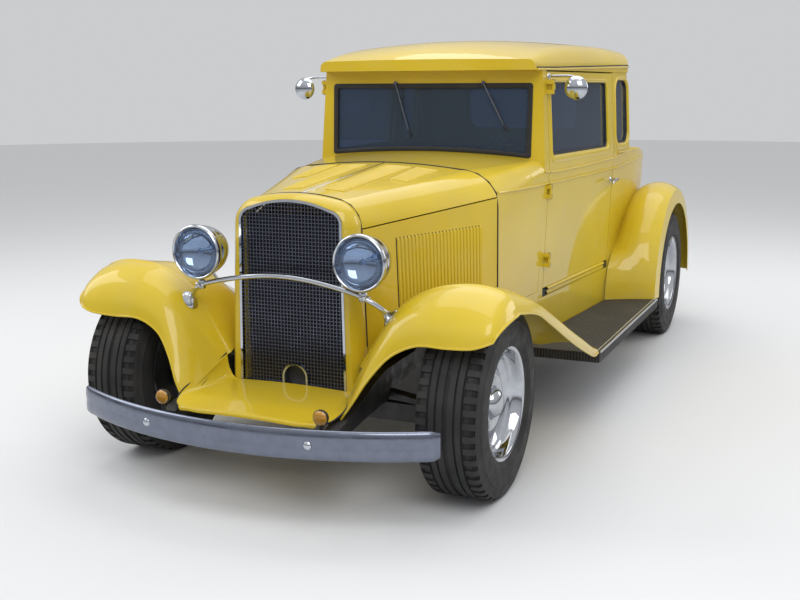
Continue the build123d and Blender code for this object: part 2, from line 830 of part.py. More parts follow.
export_step(cowl.part, "parts/cowl.step")

# Rear body with its wheel tubs, and the trunk lid cut from the deck
lid_half, lid_front = 360, 2650
lid_hinge_station, lid_hinge_z = 2652.5, 1053
lid_reach = 780


def lid_block(gap):
    """Block that cuts the lid, round at its tail about the hinge so that it swings clear."""
    with BuildPart() as block:
        with BuildSketch(Plane.YZ.offset(gap - lid_half)):
            with Locations((st(lid_hinge_station), lid_hinge_z)):
                Circle(lid_reach - gap)
            with Locations((st(lid_front + gap + 500), 800)):
                Rectangle(1000, 700, mode=Mode.INTERSECT)
        extrude(amount=2 * (lid_half - gap))
    return block.part


lid_hinge_x = (230, -230)
with BuildPart() as body_rear:
    add(cut_out(cab_shell.part, full_width, (st(door_rear), st(tail_end + 60)), full_height))
    add(lid_block(0), mode=Mode.SUBTRACT)
    for hinge_at in lid_hinge_x:
        for barrel_at in (hinge_at + 12 + seat_gap, hinge_at - 30):
            with BuildSketch(Plane.YZ.offset(barrel_at)):
                with Locations((st(lid_hinge_station), lid_hinge_z)):
                    Circle(6)
                with Locations((st(lid_hinge_station) - 8, lid_hinge_z - 7)):
                    Rectangle(14, 20)
            extrude(amount=18 - seat_gap)
    with BuildSketch(Plane.YZ.offset(-700)):
        with Locations((rear_arch_y, rear_arch_z)):
            Circle(well_radius)
    extrude(amount=700 - tub_x, mode=Mode.SUBTRACT)
    with BuildSketch(Plane.YZ.offset(tub_x)):
        with Locations((rear_arch_y, rear_arch_z)):
            Circle(well_radius)
    extrude(amount=700 - tub_x, mode=Mode.SUBTRACT)
    for tub_face in (tub_x - sheet, -tub_x):
        with BuildSketch(Plane.YZ.offset(tub_face)):
            with Locations((rear_arch_y, rear_arch_z)):
                Circle(well_radius + sheet)
            with Locations((rear_arch_y, floor_z - 400)):
                Rectangle(1200, 800, mode=Mode.SUBTRACT)
        extrude(amount=sheet)
    for rim_face, rim_depth in ((tub_x - sheet, 50), (sheet - tub_x, -50)):
        with BuildSketch(Plane.YZ.offset(rim_face)):
            with Locations((rear_arch_y, rear_arch_z)):
                Circle(well_radius + sheet)
                Circle(well_radius, mode=Mode.SUBTRACT)
            with Locations((rear_arch_y, floor_z - 400)):
                Rectangle(1200, 800, mode=Mode.SUBTRACT)
        extrude(amount=rim_depth)
body_rear.part.label = "body_rear"
export_step(body_rear.part, "parts/body_rear.step")

with BuildPart() as trunk_lid:
    add(cab_shell.part)
    add(lid_block(panel_gap), mode=Mode.INTERSECT)
    for hinge_at in lid_hinge_x:
        with BuildSketch(Plane.YZ.offset(hinge_at - 12)):
            with Locations((st(lid_hinge_station), lid_hinge_z)):
                Circle(6)
            with Locations((st(lid_hinge_station) + 8, lid_hinge_z - 7)):
                Rectangle(14, 20)
        extrude(amount=24)
trunk_lid.part.label = "trunk_lid"
export_step(trunk_lid.part, "parts/trunk_lid.step")

# Doors and their panes
for side, sign in sides.items():
    x_span = tuple(sorted((sign * 300, sign * 700)))
    y_span = (st(door_front + panel_gap), st(door_rear - panel_gap))
    with BuildPart() as door:
        add(cut_out(cab_shell.part, x_span, y_span, (door_bottom, door_top)))
        for middle, skin_x in door_hinge_rows:
            add(hinge_barrel(sign, middle - 12, 24, skin_x, 1))
    door.part.label = f"door_{side}"
    export_step(door.part, f"parts/door_{side}.step")
    with BuildPart() as pane:
        add(glass_shell.part)
        add(door_pane, mode=Mode.INTERSECT)
        with Locations((sign * 500, st((window_front + window_rear) / 2), 1250)):
            Box(800, 1200, 500, mode=Mode.INTERSECT)
    pane.part.label = f"door_glass_{side}"
    export_step(pane.part, f"parts/door_glass_{side}.step")

# Mirrors and handles, which ride on the doors
mirror_x, mirror_station, mirror_z = 650, 1178, 1375
arm_root, arm_station, arm_height = 523.2, 1212, 1425
handle_root, handle_station, handle_z = 606.8, 2068, 918
handle_reach, lever_lead = 36, 14
for side, sign in sides.items():
    mirror_centre = (sign * mirror_x, st(mirror_station), mirror_z)
    with BuildPart() as door_trim:
        with BuildSketch(Plane(origin=mirror_centre, x_dir=(1, 0, 0), z_dir=(0, 0, 1))):
            with BuildLine():
                ThreePointArc((50, 0), cap_mid(50, 0, -25), (0, -25))
                Polyline((0, -25), (0, 0), (50, 0))
            make_face()
        revolve(axis=Axis(mirror_centre, (0, 1, 0)))
        with Locations((sign * (mirror_x + 6 + arm_root) / 2, st(arm_station), arm_height)):
            Box(mirror_x + 6 - arm_root, 14, 14)
        with Locations((sign * mirror_x, st((mirror_station + arm_station) / 2 - 9), arm_height)):
            Box(14, arm_station - mirror_station + 24, 14)
        with Locations((sign * mirror_x, st(mirror_station - 10), (mirror_z + arm_height) / 2 + 10)):
            Box(14, 12, arm_height - mirror_z - 10)
        root = (sign * handle_root, st(handle_station), handle_z)
        with BuildSketch(Plane(origin=root, x_dir=(0, 1, 0), z_dir=(sign, 0, 0))):
            Circle(11)
        extrude(amount=handle_reach)
        with Locations((sign * (handle_root + handle_reach), st(handle_station - lever_lead), handle_z)):
            Box(11, 104, 17)
    door_trim.part.label = f"door_trim_{side}"
    export_step(door_trim.part, f"parts/door_trim_{side}.step")

# Roof with its visor, lofted dome trimmed by the cab's plan and a rounded back
roof_rows = (
    # station, half width, side height, shoulder in, shoulder height, crown
    (1065, 505, 1474, 34, 1494, 1499),
    (1350, 532, 1480, 84, 1550, 1573),
    (1800, 572, 1488, 104, 1573, 1600),
    (2300, 606, 1488, 104, 1568, 1594),
    (2600, 620, 1484, 104, 1545, 1568),
)
roof_plan = {**top_plan, "front": (523, roof_rows[0][0])}
with BuildPart() as roof:
    for station, half_width, side, shoulder_in, shoulder, crown in roof_rows:
        with BuildSketch(across(station)):
            with BuildLine():
                arch_outline(
                    foot=(half_width, roof_z),
                    hinge=(half_width - 2, side),
                    corner=(half_width - 0.3 * shoulder_in, side + 0.62 * (shoulder - side)),
                    shoulder=(half_width - shoulder_in, shoulder),
                    top=crown,
                )
            make_face()
    loft()
    with BuildSketch(Plane.XY.offset(roof_z - 10)):
        with BuildLine():
            plan_outline(**roof_plan, inset=tumble - 7)
        make_face()
    extrude(amount=300, mode=Mode.INTERSECT)
    with BuildSketch(Plane.YZ.offset(-700)):
        with BuildLine():
            Polyline((st(2260), 1640), (st(900), 1640), (st(900), 1400), (st(2512), 1400), (st(2512), 1470))
            ThreePointArc((st(2512), 1470), (st(2440), 1566), (st(2260), 1596))
            Line((st(2260), 1596), (st(2260), 1640))
        make_face()
    extrude(amount=1400, mode=Mode.INTERSECT)
    for station, half_width, side, shoulder_in, shoulder, crown in (
        (pillar_station + 37, 480, 1460, 60, 1492, 1500),
        (1700, 522, 1470, 90, 1548, 1562),
        (2440, 560, 1470, 90, 1536, 1548),
    ):
        with BuildSketch(across(station)):
            with BuildLine():
                arch_outline(
                    foot=(half_width, roof_z - 4),
                    hinge=(half_width - 2, side),
                    corner=(half_width - 0.3 * shoulder_in, side + 0.62 * (shoulder - side)),
                    shoulder=(half_width - shoulder_in, shoulder),
                    top=crown,
                )
            make_face()
    loft(mode=Mode.SUBTRACT)
roof.part.label = "roof"
export_step(roof.part, "parts/roof.step")

# Floor pan, stepped up over the axle, with the sills below the doors
pan_z, trunk_pan_z, toe_station, step_station = 470, 560 + seat_gap, 681, 2222
with BuildPart() as floor:
    with BuildSketch(Plane.XY.offset(pan_z)):
        with BuildLine():
            plan_outline(**low_plan, inset=tuck + wall + seat_gap, front_inset=30)
        make_face()
        with Locations((0, st((toe_station + pillar_station + 34) / 2))):
            Rectangle(900, pillar_station + 34 - toe_station)
        with Locations((0, st(step_station + 1000))):
            Rectangle(1400, 2000, mode=Mode.SUBTRACT)
    extrude(amount=sheet)
    with BuildSketch(Plane.XY.offset(trunk_pan_z)):
        with BuildLine():
            plan_outline(**low_plan, inset=tuck + wall + seat_gap)
        make_face()
        with Locations((0, st(step_station - 1000))):
            Rectangle(1400, 2000, mode=Mode.SUBTRACT)
    extrude(amount=sheet)
    with Locations((0, st(step_station), (pan_z + trunk_pan_z + sheet) / 2)):
        Box(1060, 2 * sheet, trunk_pan_z + sheet - pan_z)
    for tub_face in (-700, tub_x - sheet - seat_gap):
        with BuildSketch(Plane.YZ.offset(tub_face)):
            with Locations((rear_arch_y, rear_arch_z)):
                Circle(well_radius + sheet + seat_gap)
        extrude(amount=700 - tub_x + sheet + seat_gap, mode=Mode.SUBTRACT)
    sill_span = (st(door_front) + seat_gap, st(door_rear) - seat_gap)
    add(cut_out(cab_shell.part, full_width, sill_span, (floor_z, sill_z)))
floor.part.label = "floor"
export_step(floor.part, "parts/floor.step")


def fender_strip(inner, top, crease, lip, base=0):
    """Closed crowned strip one sheet thick, its heights over a base."""
    (in_x, in_z), (top_x, top_z), (cr_x, cr_z), (lip_x, lip_z) = inner, top, crease, lip
    ThreePointArc((in_x, base + in_z), (top_x, base + top_z), (cr_x, base + cr_z))
    Polyline(
        (cr_x, base + cr_z),
        (lip_x, base + lip_z),
        (lip_x - sheet, base + lip_z),
        (cr_x - sheet, base + cr_z - sheet),
    )
    ThreePointArc(
        (cr_x - sheet, base + cr_z - sheet), (top_x, base + top_z - sheet), (in_x, base + in_z - sheet)
    )
    Line((in_x, base + in_z - sheet), (in_x, base + in_z))


front_strip = {"inner": (400, -85), "top": (612, 0), "crease": (836, -50), "lip": (850, -88)}
tail_strip = {"inner": (600, 318), "top": (716, 338), "crease": (840, 322), "lip": (850, 268)}
nose_rows = (
    # station, inner x, inner z, outer x, outer z
    (-404, 324, 330, 336, 338),
    (-340, 306, 350, 384, 448),
    (-250, 286, 386, 428, 566),
    (-160, 268, 420, 412, 640),
    (-60, 261, 470, 402, 664),
    (60, 295.2, 506, 402, 634),
)
skirt_rows = (
    # station, inner x, inner z, outer x, outer z along the crown's inner edge
    (60.3, 295.2, 506, 404.4, 630.4),
    (300, 375.2, 509, 459.2, 542.7),
    (640, 487.6, 503, 536.8, 418.5),
    (655, 500.8, 468, 540.2, 413),
    (911, 503.6, 322, 598.7, 319.5),
)
with BuildPart() as front_crown:
    for radius, turn in ((nose_radius, nose_turn), (rear_radius, -rear_turn)):
        with BuildSketch(Plane(origin=(0, crest_y, 0), x_dir=(1, 0, 0), z_dir=(0, -1, 0))):
            with BuildLine():
                fender_strip(**front_strip, base=crest_z)
            make_face()
        revolve(axis=Axis((0, crest_y, crest_z - radius), (1, 0, 0)), revolution_arc=turn)
    lean = radians(rear_turn)
    tail_plane = Plane(
        origin=(0, crest_y, crest_z - rear_radius), x_dir=(1, 0, 0), z_dir=(0, -cos(lean), sin(lean))
    )
    with BuildSketch(tail_plane):
        with BuildLine():
            fender_strip(**front_strip, base=rear_radius)
        make_face()
    with BuildSketch(across(tail_station)):
        with BuildLine():
            fender_strip(**tail_strip)
        make_face()
    loft(ruled=True)

with BuildPart() as front_skirt:
    for station, in_x, in_z, out_x, out_z in skirt_rows:
        with BuildSketch(across(station)):
            with BuildLine():
                Polyline(
                    (in_x, in_z),
                    (out_x, out_z),
                    (out_x, out_z - 1.5 * sheet),
                    (in_x, in_z - 1.5 * sheet),
                    close=True,
                )
            make_face()
    loft(ruled=True)

with BuildPart() as front_fenders:
    for station, in_x, in_z, out_x, out_z in nose_rows:
        with BuildSketch(across(station)):
            with BuildLine():
                Polyline(
                    (in_x, in_z),
                    (out_x, out_z),
                    (out_x + sheet, out_z - sheet),
                    (in_x + sheet, in_z - sheet),
                    close=True,
                )
            make_face()
    loft(ruled=True)
    add(front_crown.part)
    add(front_skirt.part)
    mirror(about=Plane.YZ)
front_fenders.part.label = "front_fenders"
export_step(front_fenders.part, "parts/front_fenders.step")

rear_strip = {"top": (726, 0), "crease": (834, -38), "lip": (842, -113)}
flare_start = 45
rear_flare = (
    # turn forward from the top, inner edge over the crown
    (flare_start, -76),
    (52.5, -62),
    (60, -36),
    (67.5, 8),
    (75, 52),
    (82.5, 66),
    (90, 71),
)
with BuildPart() as rear_fenders:
    for turn in (flare_start, -90):
        with BuildSketch(Plane(origin=(0, rear_arch_y, 0), x_dir=(1, 0, 0), z_dir=(0, -1, 0))):
            with BuildLine():
                fender_strip((600, -76), **rear_strip, base=rear_arch_z + rear_crown_radius)
            make_face()
            with Locations((573.5, rear_arch_z + rear_crown_radius - 78)):
                Rectangle(63, sheet)
        revolve(axis=Axis((0, rear_arch_y, rear_arch_z), (1, 0, 0)), revolution_arc=turn)
    for turn, inner_rise in rear_flare:
        lean = radians(turn)
        arch_plane = Plane(
            origin=(0, rear_arch_y, rear_arch_z), x_dir=(1, 0, 0), z_dir=(0, -cos(lean), -sin(lean))
        )
        with BuildSketch(arch_plane):
            with BuildLine():
                fender_strip((600, inner_rise), **rear_strip, base=rear_crown_radius)
            make_face()
    loft(ruled=True)
    add(body_mass.part, mode=Mode.SUBTRACT)
    mirror(about=Plane.YZ)
rear_fenders.part.label = "rear_fenders"
export_step(rear_fenders.part, "parts/rear_fenders.step")

# Running boards and the splash aprons above them
board_heel = rear_arch_y - rear_crown_radius - seat_gap
with BuildPart() as running_boards:
    with BuildSketch(Plane.XY.offset(board_bottom)):
        with BuildLine():
            Polyline(
                (board_edge, st(tail_station + seat_gap)),
                (board_edge, board_heel + 38),
                (834, board_heel + 38),
                (726, board_heel),
                (600, board_heel - 71),
                (508, st(tail_station + seat_gap)),
                close=True,
            )
        make_face()
    extrude(amount=board_top - board_bottom)
    mirror(about=Plane.YZ)
running_boards.part.label = "running_boards"
export_step(running_boards.part, "parts/running_boards.step")

apron_front, apron_rise, apron_rear = 645, 656, 2128
with BuildPart() as splash_aprons:
    for top, front_end, rear_end in (
        (floor_z, apron_front, apron_rear),
        (cowl_heel["foot"][1], apron_rise, pillar_station - 2),
    ):
        with BuildSketch(Plane.XY.offset(board_bottom)):
            with BuildLine():
                Polyline(
                    (500, st(apron_front)),
                    (503, st(tail_station)),
                    (pillar_half - 17, st(pillar_station)),
                    (598, st(apron_rear)),
                    (598 - sheet, st(apron_rear)),
                    (pillar_half - 17 - sheet, st(pillar_station)),
                    (503 - sheet, st(tail_station)),
                    (500 - sheet, st(apron_front)),
                    close=True,
                )
            make_face()
            with Locations((600, st((front_end + rear_end) / 2))):
                Rectangle(400, rear_end - front_end, mode=Mode.INTERSECT)
        extrude(amount=top - seat_gap - board_bottom)
    mirror(about=Plane.YZ)
splash_aprons.part.label = "splash_aprons"
export_step(splash_aprons.part, "parts/splash_aprons.step")

# Front apron between the fender tips
apron_rows = (
    # station, half width, edge height, flat height
    (-448, 322, 322, 321),
    (-404, 323, 330, 328),
    (-340, 305, 350, 335),
    (-250, 285, 386, 340),
    (-160, 267, 420, 344),
    (-134, 262, 432, 345),
)
with BuildPart() as front_apron:
    for station, half_width, edge_height, flat_height in apron_rows:
        with BuildSketch(across(station)):
            with BuildLine():
                Polyline(
                    (-half_width, edge_height),
                    (30 - half_width, flat_height),
                    (half_width - 30, flat_height),
                    (half_width, edge_height),
                    (half_width, edge_height - sheet),
                    (half_width - 30, flat_height - sheet),
                    (30 - half_width, flat_height - sheet),
                    (-half_width, edge_height - sheet),
                    close=True,
                )
            make_face()
    loft(ruled=True)
front_apron.part.label = "front_apron"
export_step(front_apron.part, "parts/front_apron.step")

# Bumpers: bowed flat bars
with BuildPart() as bumpers:
    for bar in (front_bar, rear_bar):
        half_width, middle = bar["half"], bar["middle"]
        end_station, thick = middle + bar["way"] * bar["bow"], bar["way"] * bumper_thick
        with BuildSketch(Plane.XY.offset(bar["low"])):
            with BuildLine():
                ThreePointArc((-half_width, st(end_station)), (0, st(middle)), (half_width, st(end_station)))
                Line((half_width, st(end_station)), (half_width, st(end_station + thick)))
                ThreePointArc(
                    (half_width, st(end_station + thick)),
                    (0, st(middle + thick)),
                    (-half_width, st(end_station + thick)),
                )
                Line((-half_width, st(end_station + thick)), (-half_width, st(end_station)))
            make_face()
        extrude(amount=bumper_tall)
bumpers.part.label = "bumpers"
export_step(bumpers.part, "parts/bumpers.step")

# Headlamps on a bowed bar between the fenders
bar_station, bar_radius = -205, 8
bar_clamp_z, foot_x, foot_z = 700, 420.7, 640.9
with BuildPart() as lamp_bar:
    with BuildLine() as bar_path:
        bow = ThreePointArc(
            (-lamp_x, st(bar_station), bar_clamp_z),
            (0, st(bar_station), 748),
            (lamp_x, st(bar_station), bar_clamp_z),
        )
    with BuildSketch(Plane(origin=bow @ 0, z_dir=bow % 0)):
        Circle(bar_radius)
    sweep()
    for sign in sides.values():
        clamp = Vector(sign * lamp_x, st(bar_station), bar_clamp_z)
        reach = Vector(sign * foot_x, st(bar_station), foot_z) - clamp
        with BuildSketch(Plane(origin=clamp, z_dir=reach)):
            Circle(bar_radius)
        extrude(amount=reach.length)
        with BuildSketch(Plane.XY.offset(bar_clamp_z - 14)):
            with Locations((sign * lamp_x, st(bar_station))):
                Circle(13)
        extrude(amount=lamp_z - lamp_radius - bar_clamp_z + 14 - seat_gap)
lamp_bar.part.label = "lamp_bar"
export_step(lamp_bar.part, "parts/lamp_bar.step")

with BuildPart() as headlamps:
    with BuildSketch(Plane(origin=(lamp_x, lamp_y, lamp_z), x_dir=(1, 0, 0), z_dir=(0, 0, 1))):
        with BuildLine():
            Polyline((86, 3), (89, 3), (89, -8), (lamp_radius, -4), (lamp_radius, 8), (92, 12))
            ThreePointArc((92, 12), cap_mid(92, 12, lamp_depth), (0, lamp_depth))
            Line((0, lamp_depth), (0, lamp_depth - sheet))
            ThreePointArc((0, lamp_depth - sheet), cap_mid(86, 3, lamp_depth - sheet), (86, 3))
        make_face()
    revolve(axis=Axis((lamp_x, lamp_y, lamp_z), (0, 1, 0)))
    mirror(about=Plane.YZ)
headlamps.part.label = "headlamps"
export_step(headlamps.part, "parts/headlamps.step")

lens_rim = 89 - seat_gap
with BuildPart() as lenses:
    with BuildSketch(Plane(origin=(lamp_x, lamp_y, lamp_z), x_dir=(1, 0, 0), z_dir=(0, 0, 1))):
        with BuildLine():
            ThreePointArc((lens_rim, -5), cap_mid(lens_rim, -5, -17), (0, -17))
            Line((0, -17), (0, -13))
            ThreePointArc((0, -13), cap_mid(lens_rim, -1, -13), (lens_rim, -1))
            Line((lens_rim, -1), (lens_rim, -5))
        make_face()
    revolve(axis=Axis((lamp_x, lamp_y, lamp_z), (0, 1, 0)))
    mirror(about=Plane.YZ)
lenses.part.label = "lenses"
export_step(lenses.part, "parts/lenses.step")

# Small lamps: amber ones on the front irons, red ones behind the rear fenders
with BuildPart() as turn_lamps:
    with BuildSketch(across(-470)):
        with Locations((300, 362)):
            Circle(24)
    extrude(amount=28)
    with BuildSketch(Plane.XY.offset(295 + seat_gap)):
        with Locations((300, st(-484))):
            Circle(7)
    extrude(amount=50)
    mirror(about=Plane.YZ)
turn_lamps.part.label = "turn_lamps"
export_step(turn_lamps.part, "parts/turn_lamps.step")

with BuildPart() as tail_lamps:
    with BuildSketch(across(3262)):
        with Locations((726, 470)):
            Circle(38)
    extrude(amount=26)
    with BuildSketch(across(3240)):
        with Locations((726, 470)):
            Circle(10)
    extrude(amount=13)
    mirror(about=Plane.YZ)
tail_lamps.part.label = "tail_lamps"
export_step(tail_lamps.part, "parts/tail_lamps.step")

# Inside: bench seat, dash, steering wheel on its column
seat_half = 480
with BuildPart() as seat:
    with BuildSketch(Plane.YZ.offset(-seat_half)):
        with BuildLine():
            Polyline(
                (st(1690), pan_z + sheet + seat_gap),
                (st(1670), 650),
                (st(2150), 640),
                (st(2240), 1070),
                (st(2350), 1080),
                (st(2280), 640),
                (st(2212), 572),
                (st(2212), pan_z + sheet + seat_gap),
                close=True,
            )
        make_face()
    extrude(amount=2 * seat_half)
seat.part.label = "seat"
export_step(seat.part, "parts/seat.step")

with BuildPart() as dash:
    for row, station in ((hood_heel, 680), (cowl_heel, pillar_station)):
        with BuildSketch(across(station)):
            with BuildLine():
                arch_outline(**{**row, "foot": (row["foot"][0], 800)}, inset=26 + seat_gap)
            make_face()
    loft(ruled=True)
    with Locations((0, st(pillar_station - 23), 1015)):
        Box(1200, 36, 170, mode=Mode.INTERSECT)
dash.part.label = "dash"
export_step(dash.part, "parts/dash.step")

helm_x = 290
helm = Vector(helm_x, st(1400), 985)
column = Vector(0, -0.85, -0.527).normalized()
with BuildPart() as steering_wheel:
    with BuildSketch(Plane(origin=helm, x_dir=(1, 0, 0), z_dir=column)):
        Rectangle(360, 14)
        Rectangle(14, 360)
        Circle(36)
    extrude(amount=8)
    with BuildSketch(Plane(origin=helm, x_dir=(1, 0, 0), z_dir=column)):
        Circle(200)
        Circle(176, mode=Mode.SUBTRACT)
    extrude(amount=22)
    with BuildSketch(Plane(origin=helm, x_dir=(1, 0, 0), z_dir=column)):
        Circle(20)
    extrude(amount=900)
    with Locations((helm_x, st(680 + seat_gap) - 100, 560)):
        Box(200, 200, 400, mode=Mode.SUBTRACT)
steering_wheel.part.label = "steering_wheel"
export_step(steering_wheel.part, "parts/steering_wheel.step")

# Exhaust: two pipes with their silencers under the cross members
pipe_z = 395 - seat_gap - 25
with BuildPart() as exhaust:
    for start, run, radius, drop in ((620, 1960, 25, 0), (1620, 440, 62, 30)):
        with BuildSketch(across(start + run)):
            with Locations((215, pipe_z - drop), (-215, pipe_z - drop)):
                Circle(radius)
        extrude(amount=run)
exhaust.part.label = "exhaust"
export_step(exhaust.part, "parts/exhaust.step")
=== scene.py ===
# %% [markdown]
# # A street rod coupe
# A full-fendered coupe of the early thirties, rebuilt as a street rod: yellow paint, polished
# wheels, a woven mesh grille and bright lamps on a bowed bar. The solids of the car come in as
# a fixed frame. They could be modelled again here, but then nothing would fit the moving parts,
# so this lesson dresses that frame: finishes first, then the pieces that solids show too plainly.

# %% Load the frame
from math import atan2, cos, degrees, pi, radians, sin

import bmesh
import bpy
from mathutils import Euler, Matrix, Vector
from mathutils.bvhtree import BVHTree


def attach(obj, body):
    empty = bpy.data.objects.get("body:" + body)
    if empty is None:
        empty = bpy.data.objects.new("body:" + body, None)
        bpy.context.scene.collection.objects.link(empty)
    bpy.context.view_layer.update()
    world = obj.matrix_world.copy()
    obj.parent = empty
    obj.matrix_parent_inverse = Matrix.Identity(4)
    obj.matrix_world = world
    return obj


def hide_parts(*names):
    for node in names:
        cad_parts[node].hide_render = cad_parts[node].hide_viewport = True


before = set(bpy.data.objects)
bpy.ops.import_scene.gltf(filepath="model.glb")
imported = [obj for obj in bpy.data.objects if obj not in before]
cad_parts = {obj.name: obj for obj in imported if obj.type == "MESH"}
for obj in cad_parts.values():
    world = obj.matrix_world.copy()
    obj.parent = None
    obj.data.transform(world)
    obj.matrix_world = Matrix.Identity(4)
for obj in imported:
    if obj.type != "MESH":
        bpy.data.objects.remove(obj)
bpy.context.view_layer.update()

# %% [markdown]
# Lengths on the car are easiest to think of in millimetres, with stations counted backward from
# the front axle, as a coachbuilder marks them on the floor. Blender works in metres, so one
# helper turns such a place into a point.

# %% Places on the car
MM = 0.001
front_axle = -1.545
both_sides = (("left", 1), ("right", -1))
scene = bpy.context.scene


def at(x, station, z):
    """Point in metres from x, station behind the front axle and height, all in mm."""
    return Vector((x * MM, front_axle + station * MM, z * MM))


def stand(name, data):
    """A new object in the scene."""
    made = bpy.data.objects.new(name, data)
    scene.collection.objects.link(made)
    return made


print("front axle at", at(0, 0, 328))

# %% [markdown]
# ## Camera, floor and light
# The photograph was taken from standing height, near the car's front left corner, with a lens a
# little longer than normal. The camera has that place, turn and lens, so that the render lies
# over the photograph.

# %% Camera
eye, tilt, heading, roll = (1.8459, -4.8938, 1.3809), 78.81, 23.94, -0.19
lens = bpy.data.cameras.new("camera")
lens.sensor_width = 36
lens.lens = 48.44
camera = stand("camera", lens)
aim = Euler((radians(tilt), 0, radians(heading))).to_matrix() @ Matrix.Rotation(radians(roll), 3, "Z")
camera.matrix_world = Matrix.Translation(eye) @ aim.to_4x4()
scene.camera = camera
scene.view_settings.view_transform = "Standard"
print("camera looks", degrees(aim.to_euler().x), "from straight down")

# %% [markdown]
# Every finish is a small tree of nodes. Making a node, setting it and wiring it takes several
# lines each time, so one helper does all three, and a second one mixes two colours.


# %% Node helpers
def wire(tree, node, inputs):
    """Links each input of a node that is given as a socket, and sets any other."""
    for name, value in inputs.items():
        if isinstance(value, bpy.types.NodeSocket):
            tree.links.new(value, node.inputs[name])
        else:
            node.inputs[name].default_value = value


def add_node(tree, kind, inputs, **settings):
    """A new node with its settings and inputs."""
    made = tree.nodes.new(kind)
    for name, value in settings.items():
        setattr(made, name, value)
    wire(tree, made, inputs)
    return made


def blend(tree, factor, first, second):
    """Colour between two, each a colour or a socket."""
    ends = [(*end, 1) if isinstance(end, tuple) else end for end in (first, second)]
    inputs = {"Factor": factor, "A": ends[0], "B": ends[1]}
    return add_node(tree, "ShaderNodeMix", inputs, data_type="RGBA").outputs[2]


# %% [markdown]
# A studio for a car is a pale floor that runs into a pale surround, with wide soft lamps above.
# Chrome shows only what is around it, so the surround gets darker near the horizon for
# everything but the camera, and gives the bright parts a line to bend.

# %% Floor and surround
studio_grey = (0.80, 0.81, 0.82)
world = bpy.data.worlds.new("studio")
scene.world = world
world.use_nodes = True
sky = world.node_tree
sky.nodes.clear()
way = add_node(sky, "ShaderNodeTexCoord", {})
height = add_node(sky, "ShaderNodeSeparateXYZ", {"Vector": way.outputs["Generated"]}).outputs["Z"]
band = add_node(sky, "ShaderNodeValToRGB", {"Fac": height})
stops = band.color_ramp.elements
stops[0].color = (0.30, 0.30, 0.31, 1)
for place, level in ((0.06, 0.22), (0.13, 0.62), (0.4, 0.86)):
    stops.new(place).color = (level, level, level * 1.03, 1)
seen = add_node(sky, "ShaderNodeLightPath", {}).outputs["Is Camera Ray"]
surround = blend(sky, seen, band.outputs["Color"], studio_grey)
glow = add_node(sky, "ShaderNodeBackground", {"Strength": 0.75, "Color": surround})
add_node(sky, "ShaderNodeOutputWorld", {"Surface": glow.outputs["Background"]})

floor_shape = bmesh.new()
bmesh.ops.create_circle(floor_shape, cap_ends=True, segments=96, radius=24)
floor_mesh = bpy.data.meshes.new("studio_floor")
floor_shape.to_mesh(floor_mesh)
floor_shape.free()
floor_paint = bpy.data.materials.new("studio_floor")
floor_paint.use_nodes = True
floor_look = {"Base Color": (0.72, 0.73, 0.74, 1), "Roughness": 0.85}
wire(floor_paint.node_tree, floor_paint.node_tree.nodes["Principled BSDF"], floor_look)
floor_mesh.materials.append(floor_paint)
studio_floor = stand("studio_floor", floor_mesh)
print("surround and floor", len(sky.nodes), "nodes")

# %% Lamps
lamp_rows = (
    # place, aim, size across, size along, power
    ((2.5, -4.5, 4.5), (0, -0.8, 0.6), 3.2, 3.2, 112),
    ((-4.5, -2.0, 3.8), (0, -0.3, 0.6), 3.0, 3.0, 72),
    ((0.0, 1.0, 5.2), (0, 0.2, 0.8), 5.0, 6.5, 128),
    ((4.5, 3.5, 2.6), (0, 0.8, 0.7), 2.4, 2.4, 42),
)
for number, (place, target, across, along, power) in enumerate(lamp_rows):
    light = bpy.data.lights.new(f"softbox_{number}", "AREA")
    light.shape = "RECTANGLE"
    light.size, light.size_y, light.energy = across, along, power
    turn = (Vector(target) - Vector(place)).to_track_quat("-Z", "Y").to_matrix().to_4x4()
    stand(light.name, light).matrix_world = Matrix.Translation(place) @ turn
print("lamps", len(lamp_rows))

# %% [markdown]
# ## Finishes
# Each finish starts from the same shader. Patterns are read in the car's own coordinates, so
# they stay in place on every panel, and they steer colour, roughness and a fine relief.


# %% Finish helpers
finishes = {}


def finish(name, slot, colour, roughness, extra=None):
    """A named finish, with the sockets that are the same all over set on its shader."""
    made = bpy.data.materials.new(name)
    made.use_nodes = True
    made["slot"] = slot
    tree = made.node_tree
    shader = tree.nodes["Principled BSDF"]
    wire(tree, shader, {"Base Color": (*colour, 1), "Roughness": roughness, **(extra or {})})
    finishes[name] = made
    return tree, shader


def cloud(tree, scale, detail):
    """Soft cloudy noise in the car's coordinates, from 0 to 1."""
    place = add_node(tree, "ShaderNodeTexCoord", {}).outputs["Object"]
    inputs = {"Scale": scale, "Detail": detail, "Vector": place}
    return add_node(tree, "ShaderNodeTexNoise", inputs).outputs["Fac"]


def between(tree, value, low, high, start=0.35, end=0.65):
    """A value moved from the span start..end to the span low..high."""
    inputs = {"Value": value, "From Min": start, "From Max": end, "To Min": low, "To Max": high}
    return add_node(tree, "ShaderNodeMapRange", inputs).outputs["Result"]


def relief(tree, shader, height, strength, distance):
    """A fine surface relief from a height."""
    inputs = {"Height": height, "Strength": strength, "Distance": distance}
    wire(tree, shader, {"Normal": add_node(tree, "ShaderNodeBump", inputs).outputs["Normal"]})


def stripes(tree, axis, pitch_mm):
    """Even ribs across an axis of the car, from -1 to 1."""
    place = add_node(tree, "ShaderNodeTexCoord", {}).outputs["Object"]
    one = add_node(tree, "ShaderNodeSeparateXYZ", {"Vector": place}).outputs[axis]
    turns = {0: one, 1: 2 * pi / (pitch_mm * MM)}
    phase = add_node(tree, "ShaderNodeMath", turns, operation="MULTIPLY").outputs[0]
    return add_node(tree, "ShaderNodeMath", {0: phase}, operation="SINE").outputs[0]


